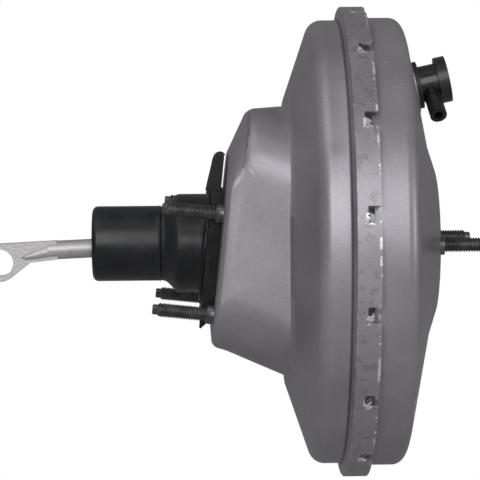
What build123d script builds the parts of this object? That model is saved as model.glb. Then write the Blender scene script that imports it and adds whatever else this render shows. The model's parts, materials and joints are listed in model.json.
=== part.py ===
"""Vacuum brake booster: a single-diaphragm servo with a swept-back mounting boss.

Millimetres. +X points forward, to the master cylinder, and +Z up. The origin is the
centre of the flat that the master cylinder bolts to, on the booster's axis. Lengths
along X are written as stations, so a piece that seats on another names its station.
"""

import os
from math import atan, cos, radians, sin, sqrt

from build123d import *

# Pressed steel shells
SHEET = 2.0
FRONT_R = 126.2
FRONT_EDGE_X = -21.2
FRONT_EDGE_FILLET = 7.0
PAD_R = 28.0
SHOULDER_R, SHOULDER_X = 42.0, -1.0
WAIST_R, WAIST_X = 58.0, -6.4
REAR_STEP = 1.2
CONE_TOP_X = -70.4
CONE_END_R, CONE_END_X = 81.2, -85.3
CONE_FILLET = 8.5

# Rolled rim that locks the two shells together
RIM_STAND = 6.3
RIM_REAR_X = -54.0
RIM_FRONT_X = -41.1
RIM_FOOT_FILLET = 2.6
RIM_CLEAR = 0.2
BEAD_THICK = 2.0
LANCES = 16
LANCE_PHASE = 9.3
LANCE_WIDTH = 8.6
LANCE_TAB_WIDTH = 7.4
LANCE_REACH = 3.4

# Mounting boss on the rear shell, tilted to the bulkhead
FACE_X = -122.2
FACE_TILT = 6.0
FACE_HALF_WIDTH, FACE_TOP, FACE_BOTTOM, FACE_CORNER = 71.0, 50.4, -53.8, 24.0
KNEE_DEPTH = 9.1
KNEE_HALF_WIDTH, KNEE_TOP, KNEE_BOTTOM, KNEE_CORNER = 75.0, 76.9, -56.6, 36.0
BASE_HALF_WIDTH, BASE_TOP, BASE_BOTTOM, BASE_CORNER = 79.0, 77.0, -74.2, 64.0
BASE_OVERLAP = 5.0
BOSS_FILLET = 5.0

# Neck that the control valve slides through
NECK_R = 25.0
NECK_END_X = -146.0

# Studs, 5/16 inch
STUD_R = 3.97
STUD_DOG_R = 2.8
STUD_DOG_LONG = 3.5
STUD_HEAD_R = 7.0
STUD_HEAD_THICK = 2.5
STUD_HOLE_CLEAR = 0.1
FRONT_STUD_SPACING = 79.4
FRONT_STUD_REACH = 25.4
FRONT_COLLAR_R = 5.5
FRONT_COLLAR_REACH = 2.0
REAR_STUD_WIDE, REAR_STUD_TALL = 108.0, 55.0
REAR_STUD_DROP = 8.8
REAR_STUD_REACH = 33.5
REAR_COLLAR_R = 5.2
REAR_COLLAR_REACH = 4.0

# Plates that stiffen the shells behind the studs
STIFFENER = 3.0
FRONT_STIFFENER_IN_R, FRONT_STIFFENER_OUT_R = 15.7, 53.0
REAR_STIFFENER_HALF_WIDTH, REAR_STIFFENER_HALF_HEIGHT = 59.0, 37.0
REAR_STIFFENER_CORNER = 18.0
SEAT_GAP = 0.05

# Spring steel bracket behind the boot
BRACKET_SHEET = 1.6
BRACKET_STAND = 7.2
BRACKET_STUD_GAP = 12.0
BRACKET_TOP, BRACKET_BOTTOM = 30.0, -38.5
BRACKET_FLANGE_GAP = 0.3
BRACKET_CORNER = 3.0
TOP_TAB_HALF_WIDTH = 25.0
TOP_TAB_HEIGHT = 19.5
TOP_TAB_GAP = 2.2
PRONG_TIP, PRONG_ROOT = -45.5, -40.5
SLIT_TALL, SLIT_DEEP = 9.0, 1.6

# Control valve hub, moulded in one piece
HUB_NECK_R = 18.9
HUB_BORE_R = 15.0
HUB_END_X = -188.0
HUB_SEAT_X = -122.0
VACUUM_SEAT_IN_R, VACUUM_SEAT_OUT_R, VACUUM_SEAT_LONG = 12.6, 14.0, 5.0
HUB_BARREL_R = 24.0
HUB_FLANGE_R = 27.0
HUB_FLANGE_THICK = 5.0
HUB_BARREL_REAR_X = -92.0
HUB_SHOULDER_X = -98.0
HUB_NOSE_R = 17.0
HUB_NOSE_X = -62.0
RUNNING = 0.05

# Diaphragm and the plate it drives
PLATE_SHEET = 1.6
PLATE_FLAT_X = -86.0
PLATE_FLAT_R = 45.0
PLATE_RIM_IN, PLATE_RIM_X = 14.0, -68.6
PLATE_LIP = 5.0
DIAPHRAGM_THICK = 1.6
DIAPHRAGM_GAP = 0.2
ROLL_IN = 3.8
ROLL_BOTTOM_X = -66.0
DIAPHRAGM_BEAD = 3.5

# Output rod and reaction disc
OUTPUT_ROD_R = 4.75
OUTPUT_TIP_X = 3.0
OUTPUT_TIP_CHAMFER = 1.0
OUTPUT_HEAD_R = 13.5
OUTPUT_HEAD_THICK = 4.0
OUTPUT_FOOT_R = 9.0
REACTION_R = 13.6
REACTION_THICK = 6.0
OUTPUT_POCKET_R = 13.8
OUTPUT_POCKET_X = -76.0
ROD_RETAINER_THICK = 1.5

# Air valve plunger and the pedal rod's ball
PLUNGER_NOSE_R = 5.0
PLUNGER_NOSE_LONG = 18.0
PLUNGER_GAP = 1.8
PLUNGER_BODY_R = 8.0
PLUNGER_SEAT_R, PLUNGER_SEAT_THICK, PLUNGER_SEAT_X = 11.2, 3.0, -127.0
PLUNGER_SKIRT_R = 9.2
PLUNGER_SKIRT_END_X = -138.5
BALL_R = 6.3
BALL_X = -135.0
BALL_CLEAR = 0.05
SOCKET_MOUTH_R = 5.4
AIR_VALVE_TRAVEL = 1.5
KEY_THICK = 2.5
KEY_X = -110.0
KEY_HALF_WIDTH = 4.5
KEY_GROOVE_R = 5.2
KEY_TOP = 18.4

# Pedal rod, forged, with a flat eye below its axis
ROD_R = 5.3
ROD_DROOP = 2.4
ROD_SHAFT_LONG = 84.0
ROD_NECK_R, ROD_NECK_LONG = 4.0, 10.0
WEB_WAIST = 94.0
EYE_ALONG, EYE_DROP = 111.4, 5.6
EYE_R, EYE_BORE_R = 10.7, 7.55
EYE_HALF_THICK = 4.0

# Poppet valve, its springs and the air filter inside the hub
POPPET_IN_R, POPPET_OUT_R = 9.8, 14.7
POPPET_FACE_THICK = 2.2
POPPET_GAP = 0.3
POPPET_SLEEVE_IN_R = 13.2
POPPET_END_X = -147.0
RETAINER_IN_R = 8.2
RETAINER_THICK = 3.0
RETAINER_LIP = 3.0
FILTER_IN_R = 8.6
FELT_THICK, FOAM_THICK = 5.0, 10.0
BORE_CLEAR = 0.15

# Springs
RETURN_COIL_R, RETURN_WIRE_R, RETURN_TURNS = 29.3, 1.9, 5
POPPET_COIL_R, POPPET_WIRE_R, POPPET_TURNS = 11.6, 0.5, 4
ROD_COIL_R, ROD_WIRE_R, ROD_TURNS = 9.4, 0.6, 4
CUP_X = -170.0
CUP_THICK = 1.2
CUP_R = 11.0

# Neck bearing and seals
BEARING_LONG = 9.0
SEAL_LONG = 7.0
NECK_LIP = 2.0
SEAL_GAP = 0.25
SEAL_LIP = 1.2
SEAL_RING_THICK = 1.5
FRONT_SEAL_HOLE_R = 11.0
FRONT_SEAL_FLANGE_R, FRONT_SEAL_FLANGE_THICK = 14.0, 2.6
FRONT_RETAINER_R, FRONT_RETAINER_IN_R, FRONT_RETAINER_THICK = 17.5, 6.6, 1.2

# Dust boot
BOOT_WALL = 2.0
BOOT_SLIM_R, BOOT_BIG_R = 21.2, 27.8
BOOT_NOSE_X = -193.6
BOOT_NECK_X = -154.0
BOOT_SHOULDER_X = -149.0
BOOT_NOSE_FILLET = 4.5
BOOT_NOSE_CHAMFER = 1.3
BOOT_FLANGE_R, BOOT_FLANGE_THICK = 32.5, 1.6
BOOT_FIT = 0.3

# Vacuum check valve on the front shell, square to its cone
VALVE_SIDE_Y, VALVE_EDGE_IN = -12.0, 38.7
VALVE_SEAT_R, VALVE_SEAT_HEIGHT = 15.5, 1.0
VALVE_HOLE_R = 9.6
GROMMET_R, GROMMET_THICK = 13.2, 2.8
GROMMET_INNER_R, GROMMET_INNER_THICK = 11.4, 3.0
VALVE_STEM_R, VALVE_STEM_LONG = 6.0, 13.0
VALVE_BODY_R, VALVE_BODY_LONG = 10.0, 10.0
VALVE_CAP_R, VALVE_CAP_THICK = 12.95, 6.0
VALVE_CHAMBER_R, VALVE_FLOOR = 7.4, 2.0
VALVE_PORT_R = 3.0
VALVE_CAP_PLUG = 2.0
NIPPLE_R, NIPPLE_BORE_R = 4.7, 2.5
NIPPLE_REACH = 27.8
NIPPLE_ROOT_R, NIPPLE_ROOT_REACH = 5.0, 13.4
NIPPLE_DOWN = 42.0
CHECK_DISC_R, CHECK_DISC_THICK = 6.6, 1.4
CHECK_COIL_R, CHECK_WIRE_R, CHECK_TURNS = 4.2, 0.4, 3

# Places worked out from the sizes above
REAR_R = FRONT_R - REAR_STEP
RIM_R = FRONT_R + RIM_STAND
CONE_SLOPE = (CONE_TOP_X - CONE_END_X) / (REAR_R - CONE_END_R)
PLATE_RIM_R = REAR_R - PLATE_RIM_IN
ROLL_R = REAR_R - ROLL_IN
VALVE_UP_Z = FRONT_R - VALVE_EDGE_IN
FRONT_EDGE_SLOPE = (WAIST_X - FRONT_EDGE_X) / (FRONT_R - WAIST_R)
FLANGE_REAR_X = RIM_REAR_X + SHEET + BEAD_THICK
FLANGE_FRONT_X = FLANGE_REAR_X + SHEET
FLANGE_R = RIM_R - SHEET - RIM_CLEAR
BRACKET_HALF_WIDTH = REAR_STUD_WIDE / 2 - BRACKET_STUD_GAP
PLATE_HOLE_R = HUB_BARREL_R + BORE_CLEAR + PLATE_SHEET / 2
BEAD_X = (RIM_REAR_X + SHEET + FLANGE_REAR_X) / 2
PLUNGER_STEP_X = OUTPUT_POCKET_X - PLUNGER_GAP - PLUNGER_NOSE_LONG
KEY_FRONT_X = KEY_X + KEY_THICK / 2
KEY_REAR_X = KEY_X - KEY_THICK / 2
WAIST_NORMAL = sqrt(1 + ((WAIST_X - SHOULDER_X) / (WAIST_R - SHOULDER_R)) ** 2)
STIFFENER_INSET = (SHEET + STIFFENER / 2) * WAIST_NORMAL + 2 * SEAT_GAP
STIFFENER_BACK = SHEET + SEAT_GAP + STIFFENER
FRONT_PLATE_BACK = STIFFENER_INSET + STIFFENER / 2
REACTION_FACE_X = OUTPUT_POCKET_X + REACTION_THICK
PLUNGER_TIP_X = OUTPUT_POCKET_X - PLUNGER_GAP
DIAPHRAGM_OFFSET = PLATE_SHEET / 2 + DIAPHRAGM_GAP + DIAPHRAGM_THICK / 2
HUB_FLANGE_REAR_X = PLATE_FLAT_X + PLATE_SHEET / 2 + SEAT_GAP
BEARING_R = NECK_R - SHEET - SEAT_GAP
BEARING_REAR_X = NECK_END_X + NECK_LIP
POPPET_FACE_X = PLUNGER_SEAT_X - POPPET_GAP
RETAINER_FACE_X = POPPET_END_X - SEAT_GAP
ROD_HEADING = Vector(-cos(radians(ROD_DROOP)), 0, -sin(radians(ROD_DROOP)))

FACE_OUT = Vector(-cos(radians(FACE_TILT)), 0, sin(radians(FACE_TILT)))
FACE_PLANE = Plane(origin=(FACE_X, 0, 0), x_dir=(0, -1, 0), z_dir=FACE_OUT)
ROD_PLANE = Plane(origin=(BALL_X, 0, 0), x_dir=ROD_HEADING, z_dir=(0, 1, 0))

VALVE_R = sqrt(VALVE_SIDE_Y**2 + VALVE_UP_Z**2)
VALVE_LEAN = atan(FRONT_EDGE_SLOPE)
VALVE_AXIS = Vector(
    cos(VALVE_LEAN),
    sin(VALVE_LEAN) * VALVE_SIDE_Y / VALVE_R,
    sin(VALVE_LEAN) * VALVE_UP_Z / VALVE_R,
)
VALVE_SPOT = Vector(
    FRONT_EDGE_X + (FRONT_R - VALVE_R) * FRONT_EDGE_SLOPE, VALVE_SIDE_Y, VALVE_UP_Z
)
VALVE_PLANE = Plane(origin=VALVE_SPOT, x_dir=(0, -1, 0), z_dir=VALVE_AXIS)
GROMMET_TOP = VALVE_SEAT_HEIGHT + GROMMET_THICK
BODY_TOP = GROMMET_TOP + VALVE_BODY_LONG
CHAMBER_FLOOR = GROMMET_TOP + VALVE_FLOOR
nipple_up = VALVE_AXIS.cross(Vector(0, -1, 0)).normalized()
nipple_side = nipple_up.cross(VALVE_AXIS).normalized()
nipple_plane = Plane(
    origin=VALVE_SPOT + VALVE_AXIS * (GROMMET_TOP + VALVE_BODY_LONG / 2),
    x_dir=VALVE_AXIS,
    z_dir=nipple_side * cos(radians(NIPPLE_DOWN)) + nipple_up * sin(radians(NIPPLE_DOWN)),
)

os.makedirs("parts", exist_ok=True)


def save(builder, name):
    """Label a finished piece and write it under its own name."""
    builder.part.label = name
    export_step(builder.part, f"parts/{name}.step")


def closed_outline(*points, plane=Plane.XZ):
    """A closed polygon as a face on a plane, by default (station, radius)."""
    with BuildSketch(plane) as drawn:
        with BuildLine():
            Polyline(*points, close=True)
        make_face()
    return drawn.sketch


def turned(*points, mode=Mode.ADD):
    """Turn a closed (station, radius) polygon about the booster's axis."""
    revolve(closed_outline(*points), axis=Axis.X, mode=mode)


def turned_ring(x0, x1, inner, outer, mode=Mode.ADD):
    """A plain ring on the booster's axis between two stations."""
    turned((x0, inner), (x1, inner), (x1, outer), (x0, outer), mode=mode)


def turned_strip(points, thickness):
    """Turn a sheet of even thickness that follows a (station, radius) path."""
    with BuildSketch(Plane.XZ) as drawn:
        with BuildLine():
            Polyline(*points)
            offset(amount=thickness / 2, kind=Kind.INTERSECTION, side=Side.BOTH)
        make_face()
    revolve(drawn.sketch, axis=Axis.X)


def disc(plane, radius, low, high, mode=Mode.ADD):
    """A round post or hole square to a plane, between two heights above it."""
    with BuildSketch(plane.offset(low)) as drawn:
        Circle(radius)
    extrude(drawn.sketch, amount=high - low, mode=mode)


def coil(plane, mean_r, wire_r, low, high, turns):
    """A round-wire spring about a plane's normal, its wire between two heights."""
    rise = high - low - 2 * wire_r
    start = plane.origin + plane.z_dir * (low + wire_r)
    with BuildLine() as path:
        Helix(rise / turns, rise, mean_r, center=start, direction=plane.z_dir)
    with BuildSketch(Plane(origin=path.line @ 0, z_dir=path.line % 0)) as wire:
        Circle(wire_r)
    sweep(wire.sketch, path=path.line, is_frenet=True)


def cone_x(radius, inset):
    """Station of the rear cone's outer face, or of a face inset into it."""
    normal = sqrt(1 + CONE_SLOPE**2)
    return CONE_TOP_X - (REAR_R - radius) * CONE_SLOPE + inset * normal


def cone_radius(x, inset):
    """Radius where the rear cone, or a face inset into it, passes a station."""
    normal = sqrt(1 + CONE_SLOPE**2)
    return REAR_R - (CONE_TOP_X + inset * normal - x) / CONE_SLOPE


def rear_drum(inset, mode):
    """The rear shell's cylinder and cone, drawn at an inset from the outer face."""
    end_x = CONE_END_X + inset
    wall_r = REAR_R - inset
    with BuildSketch(Plane.XZ) as drawn:
        with BuildLine():
            Polyline(
                (end_x, 0),
                (end_x, cone_radius(end_x, inset)),
                (cone_x(wall_r, inset), wall_r),
                (RIM_REAR_X + inset, wall_r),
                (RIM_REAR_X + inset, 0),
                close=True,
            )
        make_face()
        corner = vertices().sort_by(Axis.Y)[-2:].sort_by(Axis.X)[0]
        fillet(corner, CONE_FILLET - inset)
    revolve(drawn.sketch, axis=Axis.X, mode=mode)


def boss_section(plane, half_width, top, bottom, corner, inset):
    """One rounded rectangle of the mounting boss, drawn in from its outer face."""
    with BuildSketch(plane) as drawn:
        with Locations((0, (top + bottom) / 2)):
            RectangleRounded(
                2 * (half_width - inset), top - bottom - 2 * inset, corner - inset
            )
    return drawn.sketch


def boss_form(inset, mode):
    """The mounting boss, lofted from the cone to the tilted face."""
    base_plane = Plane(origin=(CONE_END_X, 0, 0), x_dir=(0, -1, 0), z_dir=(-1, 0, 0))
    base = boss_section(
        base_plane, BASE_HALF_WIDTH, BASE_TOP, BASE_BOTTOM, BASE_CORNER, inset
    )
    knee = boss_section(
        FACE_PLANE.offset(-KNEE_DEPTH),
        KNEE_HALF_WIDTH, KNEE_TOP, KNEE_BOTTOM, KNEE_CORNER, inset,
    )
    face = boss_section(
        FACE_PLANE.offset(-inset),
        FACE_HALF_WIDTH, FACE_TOP, FACE_BOTTOM, FACE_CORNER, inset,
    )
    with BuildPart() as boss:
        loft([base, knee], ruled=True)
        loft([knee, face], ruled=True)
        fillet(faces().sort_by(Axis.X)[0].edges(), BOSS_FILLET - inset)
        extrude(base, amount=-BASE_OVERLAP)
    add(boss.part, mode=mode)


def front_stations(inset):
    """The front shell's profile from the pad to the drum's edge."""
    edge_normal = sqrt(1 + FRONT_EDGE_SLOPE**2)
    wall_r = FRONT_R - inset
    edge_x = FRONT_EDGE_X + inset * (FRONT_EDGE_SLOPE - edge_normal)
    return [
        (-inset, 0),
        (-inset, PAD_R),
        (SHOULDER_X - inset, SHOULDER_R),
        (WAIST_X - inset * edge_normal, WAIST_R),
        (edge_x, wall_r),
    ]


def front_x(radius):
    """Station of the front shell's outer face at a radius."""
    stations = front_stations(0)
    for (x0, r0), (x1, r1) in zip(stations, stations[1:]):
        if radius <= r1:
            return x0 + (x1 - x0) * (radius - r0) / (r1 - r0)
    return stations[-1][0]


def front_drum(inset, mode):
    """The front shell's dished end and cylinder, drawn in from the outer face."""
    wall_r = FRONT_R - inset
    with BuildSketch(Plane.XZ) as drawn:
        with BuildLine():
            Polyline(
                *front_stations(inset),
                (FLANGE_REAR_X, wall_r),
                (FLANGE_REAR_X, 0),
                close=True,
            )
        make_face()
        corner = vertices().sort_by(Axis.Y)[-2:].sort_by(Axis.X)[-1]
        fillet(corner, FRONT_EDGE_FILLET - inset)
    revolve(drawn.sketch, axis=Axis.X, mode=mode)


def stud(plane, tip, collar, head_depth):
    """A collared stud on a plane: head inside, dog point outside."""
    disc(plane, STUD_HEAD_R, -head_depth - STUD_HEAD_THICK, -head_depth)
    disc(plane, STUD_R, -head_depth, tip - STUD_DOG_LONG)
    disc(plane, *collar)
    disc(plane, STUD_DOG_R, tip - STUD_DOG_LONG, tip)


def bracket_side(offset_x):
    """Plane of a bracket's side wall: height off the boss across, face height up."""
    spot = FACE_PLANE.from_local_coords((offset_x, 0, 0))
    return Plane(origin=spot, x_dir=FACE_OUT, z_dir=(0, 1, 0))


front_stud_spots = [(y, 0) for y in (-FRONT_STUD_SPACING / 2, FRONT_STUD_SPACING / 2)]
FRONT_STUD_X = front_x(FRONT_STUD_SPACING / 2)
FRONT_HEAD_DEPTH = (
    FRONT_STUD_X - front_x(FRONT_STUD_SPACING / 2 + STUD_HEAD_R) + STIFFENER_BACK + BORE_CLEAR
)
rear_stud_spots = [
    (y, z)
    for y in (-REAR_STUD_WIDE / 2, REAR_STUD_WIDE / 2)
    for z in (-REAR_STUD_DROP - REAR_STUD_TALL / 2, REAR_STUD_TALL / 2 - REAR_STUD_DROP)
]

# Rear shell: drum, mounting boss, neck and the rim with its lances
with BuildPart() as rear_shell:
    rear_drum(0, Mode.ADD)
    boss_form(0, Mode.ADD)
    turned(
        (RIM_REAR_X - RIM_FOOT_FILLET, REAR_R - SHEET),
        (RIM_REAR_X - RIM_FOOT_FILLET, REAR_R),
        (RIM_REAR_X - RIM_FOOT_FILLET / 3, REAR_R + RIM_FOOT_FILLET / 3),
        (RIM_REAR_X, REAR_R + RIM_FOOT_FILLET),
        (RIM_REAR_X, RIM_R - SHEET / 4),
        (RIM_REAR_X + SHEET / 4, RIM_R),
        (RIM_FRONT_X, RIM_R),
        (RIM_FRONT_X, RIM_R - SHEET),
        (RIM_REAR_X + SHEET, RIM_R - SHEET),
        (RIM_REAR_X + SHEET, REAR_R - SHEET),
    )
    rear_drum(SHEET, Mode.SUBTRACT)
    turned_ring(RIM_REAR_X, RIM_REAR_X + SHEET, 0, REAR_R - SHEET, Mode.SUBTRACT)
    boss_form(SHEET, Mode.SUBTRACT)
    turned_ring(NECK_END_X, FACE_X + 2 * SHEET, NECK_R - SHEET, NECK_R)
    turned_ring(NECK_END_X, FACE_X + 4 * SHEET, 0, NECK_R - SHEET, Mode.SUBTRACT)
    turned_ring(NECK_END_X, NECK_END_X + NECK_LIP, HUB_NECK_R + 1, NECK_R - SHEET / 2)
    with BuildSketch(FACE_PLANE.offset(-2 * SHEET)):
        with Locations(*rear_stud_spots):
            Circle(REAR_COLLAR_R + STUD_HOLE_CLEAR)
    extrude(amount=3 * SHEET, mode=Mode.SUBTRACT)
    for step in range(LANCES):
        heading = LANCE_PHASE + step * 360 / LANCES
        slot = Plane(
            origin=(FLANGE_FRONT_X, 0, 0),
            x_dir=(1, 0, 0),
            z_dir=(0, sin(radians(heading)), cos(radians(heading))),
        )
        notch = closed_outline(
            (0, RIM_R - 2 * SHEET),
            (RIM_FRONT_X - FLANGE_FRONT_X + 1, RIM_R - 2 * SHEET),
            (RIM_FRONT_X - FLANGE_FRONT_X + 1, RIM_R + 1),
            (0, RIM_R + 1),
            plane=slot.offset(-LANCE_WIDTH / 2),
        )
        extrude(notch, amount=LANCE_WIDTH, mode=Mode.SUBTRACT)
        tab = closed_outline(
            (-SHEET / 2, RIM_R - SHEET),
            (-SHEET / 2, RIM_R),
            (SHEET / 4, RIM_R),
            (LANCE_REACH, RIM_R - LANCE_REACH + SHEET / 4),
            (LANCE_REACH - SHEET * sqrt(0.5), RIM_R - LANCE_REACH - SHEET / 2),
            (RIM_CLEAR, RIM_R - SHEET),
            plane=slot.offset(-LANCE_TAB_WIDTH / 2),
        )
        extrude(tab, amount=LANCE_TAB_WIDTH)
save(rear_shell, "rear_shell")

# Front shell: dished end, drum and the flange that the rim traps
with BuildPart() as front_shell:
    front_drum(0, Mode.ADD)
    turned_ring(FLANGE_REAR_X, FLANGE_FRONT_X, FRONT_R - SHEET, FLANGE_R)
    with BuildSketch(VALVE_PLANE.offset(-2 * SHEET)):
        Circle(VALVE_SEAT_R)
    extrude(amount=2 * SHEET + VALVE_SEAT_HEIGHT)
    front_drum(SHEET, Mode.SUBTRACT)
    with BuildSketch(VALVE_PLANE.offset(VALVE_SEAT_HEIGHT - SHEET)):
        Circle(VALVE_SEAT_R - SHEET)
    extrude(amount=-3 * SHEET, mode=Mode.SUBTRACT)
    with BuildSketch(VALVE_PLANE.offset(-2 * SHEET)):
        Circle(VALVE_HOLE_R)
    extrude(amount=4 * SHEET, mode=Mode.SUBTRACT)
    with BuildSketch(Plane.YZ.offset(-3 * SHEET)):
        Circle(FRONT_SEAL_HOLE_R)
        with Locations(*front_stud_spots):
            Circle(FRONT_COLLAR_R + STUD_HOLE_CLEAR)
    extrude(amount=4 * SHEET, mode=Mode.SUBTRACT)
save(front_shell, "front_shell")

# Dished plate behind the front pad
with BuildPart() as front_stiffener:
    turned_strip(
        [
            (front_x(FRONT_STIFFENER_IN_R) - STIFFENER_INSET, FRONT_STIFFENER_IN_R),
            (front_x(PAD_R) - STIFFENER_INSET, PAD_R),
            (front_x(SHOULDER_R) - STIFFENER_INSET, SHOULDER_R),
            (front_x(FRONT_STIFFENER_OUT_R) - STIFFENER_INSET, FRONT_STIFFENER_OUT_R),
        ],
        STIFFENER,
    )
    with BuildSketch(Plane.YZ.offset(-4 * STIFFENER)):
        with Locations(*front_stud_spots):
            Circle(FRONT_COLLAR_R + STUD_HOLE_CLEAR)
    extrude(amount=5 * STIFFENER, mode=Mode.SUBTRACT)
save(front_stiffener, "front_stiffener")

# Plate behind the mounting boss
with BuildPart() as rear_stiffener:
    with BuildSketch(FACE_PLANE.offset(-STIFFENER_BACK)):
        with Locations((0, -REAR_STUD_DROP)):
            RectangleRounded(
                2 * REAR_STIFFENER_HALF_WIDTH,
                2 * REAR_STIFFENER_HALF_HEIGHT,
                REAR_STIFFENER_CORNER,
            )
        with Locations(*rear_stud_spots):
            Circle(STUD_R + STUD_HOLE_CLEAR, mode=Mode.SUBTRACT)
    extrude(amount=STIFFENER)
    turned_ring(FACE_X - NECK_R, FACE_X + NECK_R, 0, NECK_R + 1, Mode.SUBTRACT)
save(rear_stiffener, "rear_stiffener")

# Two studs that hold the master cylinder
with BuildPart() as master_cylinder_studs:
    for side, height in front_stud_spots:
        stud(
            Plane(
                origin=(FRONT_STUD_X, side, height), x_dir=(0, 1, 0), z_dir=(1, 0, 0)
            ),
            tip=FRONT_STUD_REACH - FRONT_STUD_X,
            collar=(FRONT_COLLAR_R, -STIFFENER_BACK, FRONT_COLLAR_REACH),
            head_depth=FRONT_HEAD_DEPTH,
        )
save(master_cylinder_studs, "master_cylinder_studs")

# Four studs that go through the bulkhead
with BuildPart() as mounting_studs:
    for side, height in rear_stud_spots:
        spot = FACE_PLANE.from_local_coords((side, height, 0))
        stud(
            Plane(origin=spot, x_dir=(0, -1, 0), z_dir=FACE_OUT),
            tip=REAR_STUD_REACH,
            collar=(REAR_COLLAR_R, -SHEET, REAR_COLLAR_REACH),
            head_depth=STIFFENER_BACK + SEAT_GAP,
        )
save(mounting_studs, "mounting_studs")

# Spring steel bracket: a channel round the neck with pointed side walls
with BuildPart() as boot_bracket:
    with BuildSketch(FACE_PLANE.offset(BRACKET_STAND - BRACKET_SHEET)):
        with BuildLine():
            Polyline(
                (-BRACKET_HALF_WIDTH, BRACKET_BOTTOM),
                (BRACKET_HALF_WIDTH, BRACKET_BOTTOM),
                (BRACKET_HALF_WIDTH, BRACKET_TOP),
                (TOP_TAB_HALF_WIDTH, BRACKET_TOP),
                (TOP_TAB_HALF_WIDTH, BRACKET_TOP + TOP_TAB_HEIGHT),
                (-TOP_TAB_HALF_WIDTH, BRACKET_TOP + TOP_TAB_HEIGHT),
                (-TOP_TAB_HALF_WIDTH, BRACKET_TOP),
                (-BRACKET_HALF_WIDTH, BRACKET_TOP),
                close=True,
            )
        make_face()
        fillet(vertices().sort_by(Axis.Y)[:2], BRACKET_CORNER)
    extrude(amount=BRACKET_SHEET)
    for hand in (-1, 1):
        side_wall = closed_outline(
            (BRACKET_FLANGE_GAP, BRACKET_TOP),
            (BRACKET_FLANGE_GAP, PRONG_ROOT + BRACKET_SHEET),
            (BRACKET_FLANGE_GAP + SLIT_DEEP, PRONG_ROOT),
            (BRACKET_STAND - SLIT_DEEP / 2, PRONG_TIP),
            (BRACKET_STAND, PRONG_TIP + SLIT_DEEP / 2),
            (BRACKET_STAND, BRACKET_TOP),
            plane=bracket_side(hand * BRACKET_HALF_WIDTH),
        )
        extrude(side_wall, amount=-hand * BRACKET_SHEET)
        tab_wall = closed_outline(
            (TOP_TAB_GAP, BRACKET_TOP - BRACKET_CORNER),
            (TOP_TAB_GAP, BRACKET_TOP + TOP_TAB_HEIGHT),
            (BRACKET_STAND, BRACKET_TOP + TOP_TAB_HEIGHT - SLIT_DEEP),
            (BRACKET_STAND, BRACKET_TOP - BRACKET_CORNER),
            plane=bracket_side(hand * TOP_TAB_HALF_WIDTH),
        )
        extrude(tab_wall, amount=-hand * BRACKET_SHEET)
        for low in (BRACKET_TOP - 2 * SLIT_TALL, BRACKET_BOTTOM / 2 - SLIT_TALL):
            slit = closed_outline(
                (0, low),
                (BRACKET_FLANGE_GAP + SLIT_DEEP, low),
                (BRACKET_FLANGE_GAP + SLIT_DEEP, low + SLIT_TALL),
                (0, low + SLIT_TALL),
                plane=bracket_side(hand * (BRACKET_HALF_WIDTH + BRACKET_SHEET)),
            )
            extrude(slit, amount=-hand * 3 * BRACKET_SHEET, mode=Mode.SUBTRACT)
    turned_ring(FACE_X - NECK_R, FACE_X + NECK_R, 0, NECK_R + BOOT_FIT, Mode.SUBTRACT)
save(boot_bracket, "boot_bracket")

# Rubber boot over the neck and the hub, closed round the pedal rod
with BuildPart() as dust_boot:
    turned(
        (BOOT_NOSE_X, 0),
        (BOOT_NOSE_X, BOOT_SLIM_R - BOOT_NOSE_FILLET),
        (BOOT_NOSE_X + BOOT_NOSE_CHAMFER, BOOT_SLIM_R - BOOT_NOSE_CHAMFER),
        (BOOT_NOSE_X + BOOT_NOSE_FILLET, BOOT_SLIM_R),
        (BOOT_NECK_X, BOOT_SLIM_R),
        (BOOT_SHOULDER_X - BOOT_WALL, BOOT_SLIM_R + BOOT_WALL),
        (BOOT_SHOULDER_X - BOOT_WALL, BOOT_BIG_R - BOOT_WALL / 4),
        (BOOT_SHOULDER_X, BOOT_BIG_R),
        (FACE_X, BOOT_BIG_R),
        (FACE_X, 0),
    )
    turned(
        (BOOT_NOSE_X + BOOT_WALL, 0),
        (BOOT_NOSE_X + BOOT_WALL, BOOT_SLIM_R - BOOT_NOSE_FILLET),
        (BOOT_NOSE_X + BOOT_NOSE_FILLET, BOOT_SLIM_R - BOOT_WALL),
        (BOOT_NECK_X + BOOT_WALL / 2, BOOT_SLIM_R - BOOT_WALL),
        (BOOT_SHOULDER_X, BOOT_SLIM_R),
        (BOOT_SHOULDER_X, NECK_R + BOOT_FIT),
        (FACE_X, NECK_R + BOOT_FIT),
        (FACE_X, 0),
        mode=Mode.SUBTRACT,
    )
    with BuildSketch(FACE_PLANE.offset(BRACKET_STAND + SEAT_GAP)):
        Rectangle(4 * BOOT_BIG_R, 4 * BOOT_BIG_R)
    extrude(amount=-BOOT_BIG_R, mode=Mode.SUBTRACT)
    disc(
        FACE_PLANE, BOOT_FLANGE_R,
        BRACKET_STAND + SEAT_GAP, BRACKET_STAND + SEAT_GAP + BOOT_FLANGE_THICK,
    )
    turned_ring(BOOT_SHOULDER_X, FACE_X, 0, NECK_R + BOOT_FIT, Mode.SUBTRACT)
    with BuildSketch(Plane(origin=(BALL_X, 0, 0), z_dir=ROD_HEADING)):
        Circle(ROD_R + BOOT_FIT)
    extrude(amount=BALL_X - BOOT_NOSE_X + BOOT_WALL, mode=Mode.SUBTRACT)
save(dust_boot, "dust_boot")

# Plastic bearing, rubber lip seal and snap ring in the neck
with BuildPart() as neck_bearing:
    turned_ring(
        BEARING_REAR_X + SEAT_GAP, BEARING_REAR_X + BEARING_LONG,
        HUB_NECK_R + RUNNING, BEARING_R,
    )
save(neck_bearing, "neck_bearing")

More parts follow.
